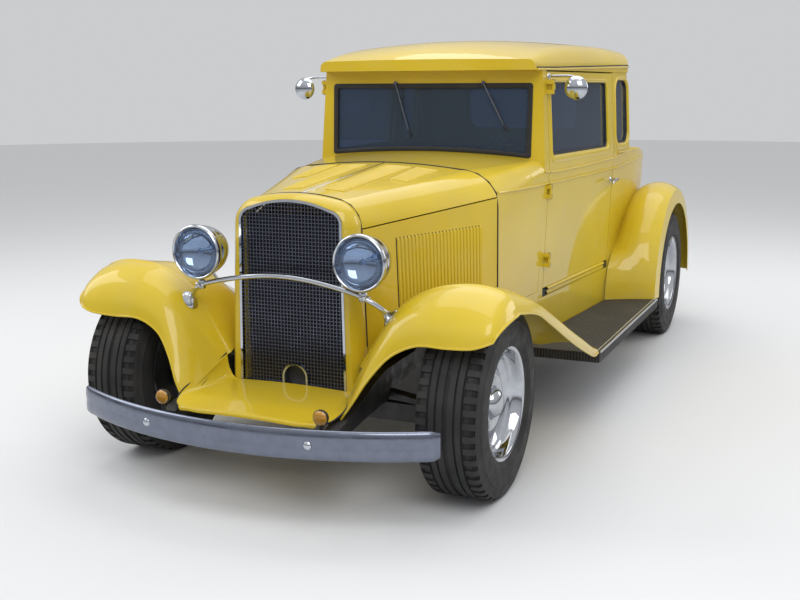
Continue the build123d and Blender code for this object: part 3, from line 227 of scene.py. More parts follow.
# %% [markdown]
# Car paint is a coloured coat under a clear one. The colour drifts a little over a panel, dust
# settles on what faces up, and the clear coat has a faint orange peel. A second clear layer on
# the shader gives the deep gloss without making the yellow itself shiny.

# %% Yellow paint
clear_coat = {"Coat Weight": 0.75, "Coat Roughness": 0.03, "Specular IOR Level": 0.25}
tree, shader = finish("yellow_paint", "yellow_paint", (0.66, 0.49, 0.02), 0.42, clear_coat)
drift = between(tree, cloud(tree, 1.7, 3), 0, 1)
body_colour = blend(tree, drift, (0.68, 0.50, 0.022), (0.60, 0.43, 0.014))
dust = between(tree, cloud(tree, 9, 8), 0.0, 0.08, 0.45, 0.75)
wire(tree, shader, {"Base Color": blend(tree, dust, body_colour, (0.50, 0.45, 0.30))})
relief(tree, shader, cloud(tree, 420, 2), 0.05, 0.0004)

# %% [markdown]
# Bright plating, polished alloy and bare steel are all metals with little colour. What tells
# them apart is how sharp their reflections are, so each gets its own roughness, with faint
# smears where hands and rags have been. The hinges are painted with the body, but oil and wear
# have browned them and they sit in shade, so they get a darker yellow of their own: partly worn
# paint, partly painted shade.

# %% Metals, and hinge paint worn and darkened with painted shade
for name, slot, colour, low, high in (
    ("chrome", "bright_metal", (0.56, 0.59, 0.64), 0.03, 0.10),
    ("wheel_alloy", "wheel_metal", (0.52, 0.54, 0.58), 0.06, 0.17),
    ("wire_steel", "bright_metal", (0.74, 0.75, 0.78), 0.14, 0.28),
    ("mesh_wire", "bright_metal", (0.16, 0.17, 0.22), 0.25, 0.42),
    ("bumper_steel", "dull_metal", (0.20, 0.22, 0.28), 0.16, 0.30),
    ("iron", "cast_metal", (0.10, 0.10, 0.105), 0.45, 0.65),
):
    tree, shader = finish(name, slot, colour, low, {"Metallic": 1.0})
    darker = tuple(0.8 * part for part in colour)
    smeared = blend(tree, between(tree, cloud(tree, 35, 5), 0, 0.5), colour, darker)
    wire(tree, shader, {"Base Color": smeared, "Roughness": between(tree, cloud(tree, 14, 6), low, high)})
    relief(tree, shader, cloud(tree, 600, 2), 0.03, 0.0003)

# The hinge yellow is darker than the body's: partly worn, browned paint, partly painted shade. The mottle is
# wear.
tree, shader = finish("hinge_paint_worn_and_shaded", "yellow_paint", (0.26, 0.16, 0.015), 0.35)
worn = between(tree, cloud(tree, 60, 5), 0, 1)
wire(tree, shader, {"Base Color": blend(tree, worn, (0.30, 0.19, 0.015), (0.17, 0.11, 0.02))})

# %% [markdown]
# Rubber is dark and rough, never quite black: the outside of a tyre is browner where it is
# dusty. The same tree serves tyres, window rubber and the welting between panels.

# %% Rubber and black paint
for name, slot, colour, dusty, low, high in (
    ("tyre_rubber", "tyre_rubber", (0.016, 0.016, 0.017), (0.05, 0.046, 0.04), 0.62, 0.88),
    ("black_rubber", "black_plastic", (0.012, 0.012, 0.013), (0.03, 0.03, 0.03), 0.5, 0.7),
    ("black_paint", "black_paint", (0.015, 0.015, 0.016), (0.05, 0.047, 0.042), 0.3, 0.6),
):
    tree, shader = finish(name, slot, colour, low)
    dusted = blend(tree, between(tree, cloud(tree, 11, 7), 0, 0.7, 0.4, 0.75), colour, dusty)
    wire(tree, shader, {"Base Color": dusted, "Roughness": between(tree, cloud(tree, 22, 6), low, high)})
    relief(tree, shader, cloud(tree, 500, 4), 0.12, 0.0005)

# %% [markdown]
# The running boards carry a black mat with fine ribs along the car. The ribs are a few
# millimetres wide, so a wave in the relief is enough, with dust lying in the grooves.

# %% Ribbed mat
tree, shader = finish("ribbed_mat", "mat_rubber", (0.02, 0.02, 0.02), 0.7)
ribs = stripes(tree, "X", 13)
groove = between(tree, ribs, 1, 0, -0.6, 0.2)
mat_colour = blend(tree, groove, (0.022, 0.021, 0.020), (0.055, 0.050, 0.040))
mat_dust = between(tree, cloud(tree, 7, 8), 0, 0.5, 0.45, 0.7)
wire(tree, shader, {"Base Color": blend(tree, mat_dust, mat_colour, (0.07, 0.062, 0.05))})
relief(tree, shader, ribs, 0.8, 0.003)

# %% [markdown]
# Glass lets light through and bends it. The windows have a grey tint of their own, and the blue in
# it is a painted reflection of the sky; the lamp lenses have upright flutes that spread the beam,
# and the small lamps are coloured plastic.

# %% Glass and lamp plastic
clear = {"Transmission Weight": 0.86, "IOR": 1.45}
# The grey of this colour is the glass's own tint; its blue is a painted reflection of the sky.
tree, shader = finish("clear_glass", "clear_glass", (0.20, 0.28, 0.42), 0.0, clear)
wire(tree, shader, {"Roughness": between(tree, cloud(tree, 6, 6), 0.0, 0.03, 0.5, 0.8)})

clear = {"Transmission Weight": 1.0, "IOR": 1.4}
tree, shader = finish("lamp_glass", "clear_glass", (0.66, 0.76, 0.90), 0.02, clear)
relief(tree, shader, stripes(tree, "X", 9), 0.06, 0.0006)

for name, slot, colour in (
    ("amber_glass", "amber_plastic", (0.80, 0.38, 0.02)),
    ("red_glass", "red_plastic", (0.62, 0.012, 0.01)),
):
    tree, shader = finish(name, slot, colour, 0.15, {"Transmission Weight": 0.35, "Coat Weight": 1.0})
    relief(tree, shader, stripes(tree, "X", 4), 0.5, 0.001)

# %% [markdown]
# The seat is trimmed in a plain woven cloth. Two crossed waves three millimetres apart read as
# threads, and a little sheen lifts the edges as the nap of real cloth does. The trim of the
# cabin is grained, and the radiator is a stack of thin dark fins.

# %% Seat cloth, cabin trim and radiator
nap = {"Sheen Weight": 0.35, "Sheen Roughness": 0.5}
tree, shader = finish("seat_cloth", "seat_cloth", (0.30, 0.27, 0.23), 0.85, nap)
threads = {0: stripes(tree, "X", 3), 1: stripes(tree, "Z", 3)}
crossed = add_node(tree, "ShaderNodeMath", threads, operation="MULTIPLY").outputs[0]
woven = between(tree, crossed, 0, 1, -1, 1)
wire(tree, shader, {"Base Color": blend(tree, woven, (0.22, 0.195, 0.165), (0.36, 0.33, 0.285))})
relief(tree, shader, woven, 0.5, 0.0008)

tree, shader = finish("cabin_trim", "black_plastic", (0.05, 0.048, 0.045), 0.6)
faded = blend(tree, cloud(tree, 5, 4), (0.04, 0.039, 0.037), (0.07, 0.067, 0.062))
wire(tree, shader, {"Base Color": faded})
relief(tree, shader, cloud(tree, 900, 3), 0.25, 0.0006)

tree, shader = finish("radiator_core", "black_paint", (0.03, 0.03, 0.035), 0.5, {"Metallic": 0.6})
fins = stripes(tree, "Z", 7)
# The darker bands are painted shade in the gaps between the fins.
shaded = blend(tree, between(tree, fins, 0, 1, -1, 1), (0.006, 0.007, 0.012), (0.022, 0.024, 0.034))
wire(tree, shader, {"Base Color": shaded})
relief(tree, shader, fins, 0.7, 0.002)
print("finishes", sorted(finishes))

# %% [markdown]
# ## The frame's own solids
# Panels whose shape is right stay as they are and get their finish. Their meshes are loose
# triangles, so a weld joins them, edges sharper than a crease are split, and the normals of the
# big faces win over those of the slivers. That is what makes the lofted panels look pressed.

# %% Dress the solids
node_finish = {
    "yellow_paint": "grille_shell hood_top_left hood_top_right hood_sides cowl body_rear trunk_lid "
    "door_left door_right roof front_fenders rear_fenders splash_aprons front_apron",
    "chrome": "grille_rim headlamps lamp_bar door_trim_left door_trim_right hood_rod",
    "mesh_wire": "grille_mesh",
    "wheel_alloy": "wheel_front_left wheel_front_right wheel_rear_left wheel_rear_right exhaust",
    "bumper_steel": "bumpers",
    "iron": "knuckle_left knuckle_right tie_rod engine",
    "black_paint": "axles springs frame floor",
    "tyre_rubber": "tyre_front_left tyre_front_right tyre_rear_left tyre_rear_right",
    "ribbed_mat": "running_boards",
    "clear_glass": "fixed_glass door_glass_left door_glass_right",
    "lamp_glass": "lenses",
    "amber_glass": "turn_lamps",
    "red_glass": "tail_lamps",
    "seat_cloth": "seat",
    "cabin_trim": "dash steering_wheel",
    "radiator_core": "radiator",
}
bare = set(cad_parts)
for finish_name, names in node_finish.items():
    for name in names.split():
        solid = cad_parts[name]
        solid.data.materials.clear()
        solid.data.materials.append(finishes[finish_name])
        smooth = finish_name != "clear_glass"
        solid.data.polygons.foreach_set("use_smooth", [smooth] * len(solid.data.polygons))
        solid.modifiers.new("weld", "WELD").merge_threshold = 0.00002
        solid.modifiers.new("creases", "EDGE_SPLIT").split_angle = radians(26)
        solid.modifiers.new("even_normals", "WEIGHTED_NORMAL").keep_sharp = True
        bare.discard(name)
print("solids without a finish", bare)

# %% [markdown]
# ## Making new pieces
# A new piece is built as a bmesh, turned into an object at the origin, and told which body of
# the car it rides on. Smooth shading is broken only where two faces meet at a real edge. Most
# pieces of a car are turned, bent from rod or pressed, so there is a helper for each of these.


# %% Piece helpers
def keep(name, shape, finish_name, body="chassis", stands_for=(), sharp=32):
    """Makes a finished bmesh into a piece of the car."""
    bmesh.ops.remove_doubles(shape, verts=shape.verts, dist=0.00001)
    bmesh.ops.recalc_face_normals(shape, faces=shape.faces)
    mesh = bpy.data.meshes.new(name)
    shape.to_mesh(mesh)
    shape.free()
    mesh.shade_smooth()
    mesh.set_sharp_from_angle(angle=radians(sharp))
    mesh.materials.append(finishes[finish_name])
    piece = stand(name, mesh)
    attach(piece, body)
    if stands_for:
        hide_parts(*stands_for)
    return piece


def lathe(shape, profile, centre, steps, axis="X", way=1):
    """Spins a profile of (along, radius) in mm about an axis through centre."""
    turn = {"X": ((1, 0, 0), (0, 0, 1)), "Y": ((0, 1, 0), (0, 0, 1)), "Z": ((0, 0, 1), (1, 0, 0))}[axis]
    along, out = Vector(turn[0]), Vector(turn[1])
    points = [shape.verts.new(centre + along * way * a * MM + out * r * MM) for a, r in profile]
    edges = [shape.edges.new(pair) for pair in zip(points, points[1:])]
    bmesh.ops.spin(
        shape, geom=points + edges, cent=centre, axis=along, angle=2 * pi, steps=steps, use_merge=True
    )


def turned(name, parts, finish_name, body="chassis", stands_for=(), sharp=32):
    """A piece of lathe work, each part a profile, centre, steps, axis and way."""
    shape = bmesh.new()
    for part in parts:
        lathe(shape, *part)
    keep(name, shape, finish_name, body, stands_for, sharp)


def rod(shape, points, radius, closed=False, smooth=False, ring=3):
    """Adds a round rod along points in metres, of a radius in mm."""
    line = bpy.data.curves.new("rod", "CURVE")
    line.dimensions = "3D"
    line.bevel_depth = radius * MM
    line.bevel_resolution = ring
    line.use_fill_caps = not closed
    spline = line.splines.new("NURBS" if smooth else "POLY")
    spline.points.add(len(points) - 1)
    for spot, point in zip(spline.points, points):
        spot.co = (*point, 1)
    spline.use_cyclic_u = closed
    if smooth:
        spline.order_u = 3
        spline.use_endpoint_u = not closed
        spline.resolution_u = 8
    carrier = bpy.data.objects.new("rod", line)
    mesh = bpy.data.meshes.new_from_object(carrier)
    shape.from_mesh(mesh)
    bpy.data.objects.remove(carrier)
    bpy.data.curves.remove(line)
    bpy.data.meshes.remove(mesh)


def bent(name, lines, finish_name, body="chassis", **settings):
    """A piece of round rods, each a line of points and a radius."""
    shape = bmesh.new()
    for points, radius in lines:
        rod(shape, points, radius, **settings)
    keep(name, shape, finish_name, body)


def sheet(shape, rows, closed=False):
    """Faces through a grid of places, with each row back to its start if closed."""
    grid = [[shape.verts.new(place) for place in row] for row in rows]
    for row, following in zip(grid, grid[1:]):
        if closed:
            row, following = row + row[:1], following + following[:1]
        for corners in zip(row, row[1:], following[1:], following):
            shape.faces.new(corners)


def pressing(name, rows, thickness, sharp, stands_for=()):
    """A yellow panel through a grid of places, thickened to its inner side."""
    shape = bmesh.new()
    sheet(shape, rows)
    bmesh.ops.recalc_face_normals(shape, faces=shape.faces)
    bmesh.ops.solidify(shape, geom=shape.faces[:], thickness=thickness * MM)
    keep(name, shape, "yellow_paint", stands_for=stands_for, sharp=sharp)


# %% [markdown]
# ## Tyres
# A tyre is a round casing with a tread cut into it. Cutting every groove out of a solid would
# be slow, so a half profile with its rings is spun about the axle, and then the faces that lie
# between two tread blocks are pushed in. The solid tyre stays in the frame for collisions,
# hidden.

# %% Tread and sidewalls
wheel_rows = (
    # end, station, x of the middle, radius, width of the tyre, half width of the rim
    ("front", 0, 653, 328, 228, 102),
    ("rear", 2769, 694, 343, 244, 110),
)
sidewall = (
    # in from the widest point, share of the way from the bead to the tread
    (20, 0.0), (13, 0.05), (11, 0.09), (5, 0.2), (3.5, 0.21), (3.5, 0.25), (1, 0.27), (0, 0.5),
    (2, 0.62), (1.2, 0.63), (1.6, 0.68), (4, 0.7), (8, 0.84), (12, 0.93), (18, 0.975),
)
bead_radius, groove_depth, tread_steps = 189, 8, 96
blocks_from, blocks_depth = 64, 14
for end, station, middle_x, radius, width, rim_half in wheel_rows:
    half, floor_radius = width / 2, radius - groove_depth
    wall = [(half - inward, bead_radius + share * (radius - bead_radius)) for inward, share in sidewall]
    ribs = []
    for rib_out, rib_in in ((half - 26, 62), (54, 36), (28, 8)):
        ribs += [(rib_out, radius - 0.6), (rib_in, radius - 0.2)]
        ribs += [(rib_in - 1.5, floor_radius), (rib_in - 6.5, floor_radius)]
    half_profile = wall + ribs[:-2] + [(6, floor_radius)]
    profile = half_profile + [(-a, r) for a, r in reversed(half_profile)]
    for side, sign in both_sides:
        casing = bmesh.new()
        centre = at(sign * middle_x, station, radius)
        lathe(casing, profile, centre, tread_steps)
        bmesh.ops.remove_doubles(casing, verts=casing.verts, dist=0.00001)
        between_blocks = []
        for face in casing.faces:
            spot = face.calc_center_median() - centre
            reach = (spot.y**2 + spot.z**2) ** 0.5 / MM
            away = abs(spot.x) / MM
            step = round(degrees(atan2(spot.z, spot.y)) * tread_steps / 360 - 0.5)
            if away > blocks_from and reach > radius - blocks_depth and step % 2 == 0:
                between_blocks.append(face)
        bmesh.ops.inset_individual(casing, faces=between_blocks, thickness=0.0012, depth=-0.006)
        body, solids = f"wheel_{end}_{side}_body", (f"tyre_{end}_{side}",)
        keep(f"tread_{end}_{side}", casing, "tyre_rubber", body, solids)
print("tyres", len(wheel_rows) * 2)

# %% [markdown]
# ## Wheels
# The wheels are smooth polished discs with rounded steps, and a bullet cap in the middle. A
# turned part is what the spin operator is for: one outline with its small radii drawn in.

# %% Wheel discs
for end, station, middle_x, radius, width, rim_half in wheel_rows:
    disc = (
        # out along the axle, radius, from the rim's bead to the tip of the cap
        (rim_half - 10, 190), (rim_half - 6, 200), (rim_half - 1, 205.5), (rim_half + 1, 206),
        (rim_half + 1.5, 203), (rim_half - 1, 198), (rim_half - 3, 186), (rim_half - 6, 183),
        (80, 178), (66, 173.5), (61, 170), (58, 165), (55, 162), (50, 160), (46, 156), (43, 150),
        (36, 140), (33, 132), (33.5, 128), (36, 124), (44, 112), (50, 103), (52.5, 98), (52, 92),
        (50, 84), (48.5, 70), (47.5, 62), (48, 56), (52, 53), (58, 51.5), (66, 48), (74, 42),
        (80, 33), (84.5, 20), (86, 8), (86.3, 0),
    )
    back = (
        disc[0], (-rim_half + 9, 190), (-rim_half, 206.5), (-rim_half + 8, 178),
        (30, 174), (24, 130), (30, 60), (30, 0),
    )
    for side, sign in both_sides:
        centre = at(sign * middle_x, station, radius)
        sides = ((disc, centre, 96, "X", sign), (back, centre, 48, "X", sign))
        wheel = f"wheel_{end}_{side}"
        turned(f"disc_{end}_{side}", sides, "wheel_alloy", f"{wheel}_body", (wheel,), 50)
print("wheel discs", len(wheel_rows) * 2)

# %% [markdown]
# ## Where the panels are
# Beads, rubbers and drip rails lie on the panels, so their places come from the panels. A ray
# sent in from the side stops at the skin, and the piece follows those points.


# %% Skin finder
skins = {}
beside_from, fan_from = 1100, 1.3


def look(names, start, way):
    """Where a ray first meets one of the named solids, with the skin's outward side."""
    best = None
    for name in names:
        if name not in skins:
            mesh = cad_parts[name].data
            skins[name] = BVHTree.FromPolygons(
                [vert.co for vert in mesh.vertices], [face.vertices for face in mesh.polygons]
            )
        spot, normal, _, far = skins[name].ray_cast(start, way)
        if spot is not None and (best is None or far < best[2]):
            best = (spot, normal if normal.dot(way) < 0 else -normal, far)
    return best


def beside(names, sign, station, z, proud=0.0):
    """Point on the outside of the named panels at a station and height."""
    found = look(names, at(sign * beside_from, station, z), Vector((-sign, 0, 0)))
    return found and found[0] + found[1] * proud * MM


def fan(name, names, centre, ways, proud, radius, finish_name):
    """A rod over the skin, where rays sent in from all the ways round a centre meet it."""
    points = []
    for out in ways:
        found = look(names, centre + out * fan_from, -out)
        if found:
            points.append(found[0] + out * proud * MM)
    bent(name, [(points, radius)], finish_name)
    print(name, len(points), "points")


print("door skin at the belt", beside(("door_left",), 1, 1600, 1000))

# %% [markdown]
# ## Beads on the belt
# Two half-round beads run back from the hood along cowl, door and quarter. On the real body they
# are rolled into each panel, so each panel here gets its own length, cut at the door's gaps. A
# tube over the whole side would be quicker, but it would tear when the door opens.


# %% Bead helper
bead_pitch, least_step = 40, 2


def bead(name, sign, names, rows, radius, body="chassis", finish_name="yellow_paint", lift=0.3):
    """A half-sunk rod over the skin, through rows of station and height."""
    points = []
    for (start, low), (end, high) in zip(rows, rows[1:]):
        count = max(1, round(abs(end - start) / bead_pitch))
        for number in range(count + 1):
            share = number / count
            station, z = start + (end - start) * share, low + (high - low) * share
            spot = beside(names, sign, station, z, lift * radius)
            if spot and (not points or (spot - points[-1]).length > least_step * MM):
                points.append(spot)
    bent(name, [(points, radius)], finish_name, body)


# %% Belt beads
door_front, door_rear, door_gap, bead_size = 1184, 2100, 7, 5.5
belt_rows = {
    # station, height
    "upper": ((1130, 1024), (1262, 1016), (1700, 1019), (2100, 1027), (2394, 1047)),
    "lower": ((666, 972), (870, 971), (1188, 970), (1650, 972), (2153, 976), (2529, 994), (2700, 1003)),
}


def level(rows, station):
    """Height of a row of places at a station between them."""
    for (start, low), (end, high) in zip(rows, rows[1:]):
        if station <= end:
            return low + (high - low) * (station - start) / (end - start)
    return rows[-1][1]


def cut_rows(rows, start, end):
    """The part of a row of places between two stations."""
    inside = [row for row in rows if start < row[0] < end]
    first, last = max(start, rows[0][0]), min(end, rows[-1][0])
    return [(first, level(rows, first)), *inside, (last, level(rows, last))]


for side, sign in both_sides:
    for which, rows in belt_rows.items():
        for part, start, end, panel, body in (
            ("cowl", 0, door_front, "cowl", "chassis"),
            ("door", door_front + door_gap, door_rear - door_gap, f"door_{side}", f"door_{side}_body"),
            ("quarter", door_rear + 2, 3000, "body_rear", "chassis"),
        ):
            name = f"belt_{which}_{part}_{side}"
            bead(name, sign, (panel,), cut_rows(rows, start, end), bead_size, body)
print("belt beads", 2 * 2 * 3)

# %% [markdown]
# The upper bead goes on round the back of the body, under the rear window. The body turns there,
# so the rays come in all round a point inside it instead of from one side.

# %% Bead under the rear window
level_ways = [Vector((sin(radians(turn)), cos(radians(turn)), 0)) for turn in range(-96, 97, 4)]
fan("belt_bead_back", ("body_rear",), at(0, 2230, 1049), level_ways, 2, bead_size, "yellow_paint")

# %% [markdown]
# ## Window mouldings
# Round each side window the skin swells into a moulding with soft corners, wider along its lower
# edge, with the glass in a black channel inside it. A modifier can't grow a rim along a hole in
# a mesh that it mustn't change, so each frame is a set of rounded outlines laid on the plane of
# the panel and bridged to each other.


# %% Outline helpers
corner_steps = 8


def flat(points, axis, sign):
    """How to lay a spot on the flat face through three points, moved there along one axis."""
    first, second, third = points
    normal = (second - first).cross(third - first).normalized()
    if normal[axis] * sign < 0:
        normal = -normal

    def laid(spot, proud):
        """The spot on the face, stood off by so much in mm."""
        moved = spot.copy()
        moved[axis] -= normal.dot(spot - first) / normal[axis]
        return moved + normal * proud * MM

    return laid


def rounded(front, rear, low, high, radius):
    """Places round a rectangle with round corners, each a pair of coordinates in mm."""
    corners = (
        (rear - radius, high - radius, 0),
        (front + radius, high - radius, 90),
        (front + radius, low + radius, 180),
        (rear - radius, low + radius, 270),
    )
    places = []
    for middle, height, turn in corners:
        for number in range(corner_steps + 1):
            angle = radians(turn + 90 * number / corner_steps)
            places.append((middle + radius * cos(angle), height + radius * sin(angle)))
    return places


def ringed(name, loops, finish_name, body="chassis"):
    """A piece through closed loops of points."""
    shape = bmesh.new()
    sheet(shape, loops, closed=True)
    keep(name, shape, finish_name, body, sharp=40)


# %% Side window mouldings
window_trim = {
    # out from the hole, more at the bottom, proud of the skin
    "moulding": (
        "yellow_paint",
        ((19, 12, -1.5), (18, 12, 1.5), (15, 11, 3.6), (9, 8, 4.6), (4, 3, 3.6), (1, 1, 1.0), (-1, -1, -3.0),
         (-1, -1, -12.0)),
    ),
    "channel": ("black_rubber", ((0, 0, -6), (-5, -5, -6), (-6, -6, -9), (-6, -6, -15))),
}
window_rows = (
    # name, front, rear, low, high, corner radius, panel, body
    ("door", 1228, 2008, 1085, 1400, 26, "door_{side}", "door_{side}_body"),
    ("quarter", 2147, 2373, 1093, 1412, 60, "body_rear", "chassis"),
)
for name, front, rear, low, high, radius, panel, body in window_rows:
    for side, sign in both_sides:
        spots = ((front - 12, low), (rear - 60, low - 24), (front + 40, high + 20))
        laid = flat([beside((panel.format(side=side),), sign, *spot) for spot in spots], 0, sign)
        for what, (finish_name, profile) in window_trim.items():
            loops = []
            for out, more, proud in profile:
                corner = max(radius + out, 6)
                outline = rounded(front - out, rear + out, low - out - more, high + out, corner)
                loops.append([laid(at(0, station, z), proud) for station, z in outline])
            ringed(f"{name}_{what}_{side}", loops, finish_name, body.format(side=side))
print("side window frames", len(window_rows) * 4)

# %% [markdown]
# The windshield sits in a black frame, hinged at its top on the real car, with a wiper hanging
# from the header on each half. The rear window has a plain rubber, bowed with the back of the
# body.

# %% Windshield frame
screen_half, screen_low, screen_high, screen_crown, screen_corner = 469, 1083, 1391, 23, 14
pillars = ((495, 1110), (495, 1380), (-495, 1110))
on_screen = flat([look(("cowl",), at(x, 800, z), Vector((0, 1, 0)))[0] for x, z in pillars], 1, -1)


def screen_outline(inset):
    """Places round the windshield's hole, drawn in, with its lower edge crowned."""
    half, low, high = screen_half - inset, screen_low + inset, screen_high - inset

    def crowned(x, z):
        return x, z + screen_crown * (1 - (x / half) ** 2)

    places = rounded(-half, half, low, high, screen_corner)
    turned_up = [crowned(x, z) if z < (screen_low + screen_high) / 2 else (x, z) for x, z in places]
    first, length = -half + screen_corner, 2 * half - 2 * screen_corner
    lower_edge = [crowned(first + length * number / 20, low) for number in range(1, 20)]
    before = 3 * (corner_steps + 1)
    return turned_up[:before] + lower_edge + turned_up[before:]


screen_frame = ((-6, -1), (-5, 3.5), (2, 5), (11, 5), (15, 2), (15, -14))
loops = [[on_screen(at(x, 0, z), proud) for x, z in screen_outline(inset)] for inset, proud in screen_frame]
ringed("windshield_frame", loops, "black_rubber")
print("windshield frame", len(loops), "outlines")

# %% Wipers
header_z, arm_bow = 1398, Vector((0, 0.004, 0))
for number, (top_x, tip_x, tip_z) in enumerate(((-163, -100, 1192), (253, 347, 1219))):
    arm = bmesh.new()
    pivot, tip = on_screen(at(top_x, 0, header_z), 9), on_screen(at(tip_x, 0, tip_z), -1)
    rod(arm, [on_screen(at(top_x, 0, header_z), proud) for proud in (-4, 12)], 8)
    rod(arm, [pivot, pivot.lerp(tip, 0.5) - arm_bow, tip], 2.6, smooth=True)
    keep(f"wiper_arm_{number}", arm, "bumper_steel")
    upper = pivot.lerp(tip, 0.28) + arm_bow
    lower = tip + (tip - pivot).normalized() * 0.03 + arm_bow
    bent(f"wiper_blade_{number}", [([upper, upper.lerp(lower, 0.5), lower], 4.2)], "black_rubber", ring=1)
print("wipers", 2)

# %% Rear window rubber
back_low, back_high, back_half, back_bow, back_sunk = 1150, 1380, 310, 13, 9
corners = ((330, 1140), (330, 1390), (-330, 1140))
on_back = flat([look(("body_rear",), at(x, 3300, z), Vector((0, -1, 0)))[0] for x, z in corners], 1, 1)
loops = []
for inset, proud in ((-12, -3), (-11, 9), (-3, 13), (4, 10), (6, -8)):
    outline = rounded(-back_half + inset, back_half - inset, back_low + inset, back_high - inset, 50)
    loop = []
    for x, z in outline:
        bow = back_bow * (1 - (x / back_half) ** 2) - back_sunk
        loop.append(on_back(at(x, 0, z), proud) + Vector((0, bow * MM, 0)))
    loops.append(loop)
ringed("rear_window_rubber", loops, "black_rubber")
print("rear window rubber", len(loops), "outlines")

# %% [markdown]
# ## Front fenders
# A front fender is one deep pressing. It rises from the frame, rolls over the tyre and runs down
# to the running board, and its front edge is one S-shaped line with a rolled bead. A table of
# cross-sections gives the form, and a smooth curve goes through them both ways, because the eye
# reads a fender by its reflections and flat strips would break them.

# %% Front fender sections
front_lip = (
    # x, station, height, from the frame out to the outer edge
    (308, -362, 322), (345, -348, 380), (389, -320, 456), (452, -292, 530), (540, -284, 572),
    (640, -290, 575), (722, -300, 582), (765, -300, 594), (796, -282, 606),
)
crown = (
    (262, -100, 445), (325, -100, 545), (385, -100, 630), (455, -100, 692), (560, -100, 738),
    (680, -100, 751), (765, -100, 737), (806, -97, 708), (826, -92, 664),
)
rear_sections = (
    # station, then x and height from the inner foot to the outer lip
    (60, (295, 506), (345, 572), (400, 638), (492, 697), (612, 721), (735, 707), (815, 678), (831, 660),
     (836, 634)),
    (200, (342, 508), (385, 548), (431, 584), (520, 637), (628, 659), (745, 646), (822, 622), (838, 602),
     (841, 574)),
    (340, (388, 508), (425, 520), (464, 534), (545, 577), (645, 597), (755, 586), (827, 560), (842, 538),
     (845, 509)),
    (520, (448, 505), (478, 488), (510, 468), (578, 501), (667, 516), (768, 506), (830, 482), (844, 458),
     (847, 430)),
    (700, (502, 444), (525, 422), (549, 400), (610, 422), (690, 435), (780, 428), (832, 408), (845, 386),
     (848, 358)),
    (830, (503, 369), (541, 358), (580, 350), (635, 369), (705, 377), (785, 372), (834, 352), (846, 332),
     (848, 312)),
    (908, (503, 324), (551, 322), (598, 321), (655, 334), (715, 342), (790, 338), (832, 326), (844, 318),
     (846, 308)),
)
sections = []
for turn in (0, 20, 42, 64, 80, 90):
    rise_full, back_full = sin(radians(turn)), 1 - cos(radians(turn))
    section = []
    for column, (lip, top) in enumerate(zip(front_lip, crown)):
        curl = min(1, column / 3)
        rise = rise_full * curl + turn / 90 * (1 - curl)
        back = back_full * curl + turn / 90 * (1 - curl)
        section.append(tuple(a + (b - a) * share for a, b, share in zip(lip, top, (rise, back, rise))))
    sections.append(section)
sections += [[(x, station, z) for x, z in row] for station, *row in rear_sections]
print("sections of the front fender", len(sections))


# %% Front fender pressing
def smoothed(line, parts):
    """A smooth curve through every point of a line."""
    ends = [Vector(place) for place in line]
    ends = [ends[0] * 2 - ends[1], *ends, ends[-1] * 2 - ends[-2]]
    points = []
    for a, b, c, d in zip(ends, ends[1:], ends[2:], ends[3:]):
        bend, twist = a * 2 - b * 5 + c * 4 - d, b * 3 - a - c * 3 + d
        for number in range(parts):
            t = number / parts
            points.append((b * 2 + (c - a) * t + bend * t**2 + twist * t**3) / 2)
    return [*points, ends[-2]]


def smooth_grid(lines, parts):
    """A grid of places on the smooth surface through lines of places."""
    across = [smoothed(line, parts) for line in lines]
    return [list(row) for row in zip(*[smoothed(column, parts) for column in zip(*across)])]


fender_grid = smooth_grid(sections, 5)
for side, sign in both_sides:
    placed = [[at(sign * x, station, z) for x, station, z in row] for row in fender_grid]
    pressing(f"front_fender_{side}", placed, 2.5, 50, ("front_fenders",))
    edge = [*placed[0], *[row[-1] for row in placed[1:]]]
    bent(f"front_fender_bead_{side}", [(edge, 4.2)], "yellow_paint")
print("front fenders", 2)

# %% [markdown]
# Between the fenders an apron covers the ends of the frame. It is a shallow pressing that dips
# under the grille, with a rubber welt along each side where it meets the fender. The CAD solid
# has straight faces here, so the same way as for the fender gives it its soft turn.

# %% Front apron
apron_sections = (
    # station, half width, edge height, flat height
    (-450, 258, 312, 310), (-446, 266, 321, 319), (-424, 290, 325, 323), (-398, 305, 331, 327),
    (-340, 316, 352, 335), (-250, 299, 388, 340), (-160, 279, 423, 344), (-134, 271, 436, 345),
)
lines = []
for station, half, edge, flat_z in apron_sections:
    right = [(half, edge), (half - 9, edge - (edge - flat_z) * 0.55), (half - 34, flat_z + 2)]
    right += [(half - 80, flat_z), (90, flat_z + 3)]
    line = [(-x, z) for x, z in right] + [(0, flat_z + 4)] + right[::-1]
    lines.append([(x, station, z) for x, z in line])
apron_grid = [[at(*place) for place in row] for row in smooth_grid(lines, 3)]
pressing("front_apron_pressed", apron_grid, -2.0, 60, ("front_apron",))
for side, edge in (("left", -1), ("right", 0)):
    bent(f"apron_welt_{side}", [([row[edge] for row in apron_grid[3:]], 3)], "black_rubber")
print("apron rows", len(apron_grid))

# %% [markdown]
# Under each door the edge of the floor shows as a sill with a rolled groove. Its section is one
# small outline, and since the floor's edge isn't straight, the outline is set against the floor
# at eleven stations and a thin sheet goes through them.

# %% Sills
sill_first, sill_last, sill_parts, sill_z = 1130, 2126, 10, 486
sill_section = (
    # out from the floor's edge, height
    (1, 505), (7, 504), (11, 500), (11, 495), (7, 491), (3, 489), (3, 484),
    (7, 481), (8, 477), (6, 473), (3, 471), (3, 467), (1, 465),
)
stations = [sill_first + (sill_last - sill_first) * number / sill_parts for number in range(sill_parts + 1)]
for side, sign in both_sides:
    edges = [edge for edge in (beside(("floor",), sign, station, sill_z) for station in stations) if edge]
    rows = [[edge + Vector((sign * out, 0, z - sill_z)) * MM for out, z in sill_section] for edge in edges]
    pressing(f"sill_{side}", rows, 0.8, 50)
print("sills", len(rows), "stations each")

# %% [markdown]
# The running board is edged with bright strips, one on its corner and one further in, which hold
# the mat down. Two straight rods half sunk in the board show the same bright lines.

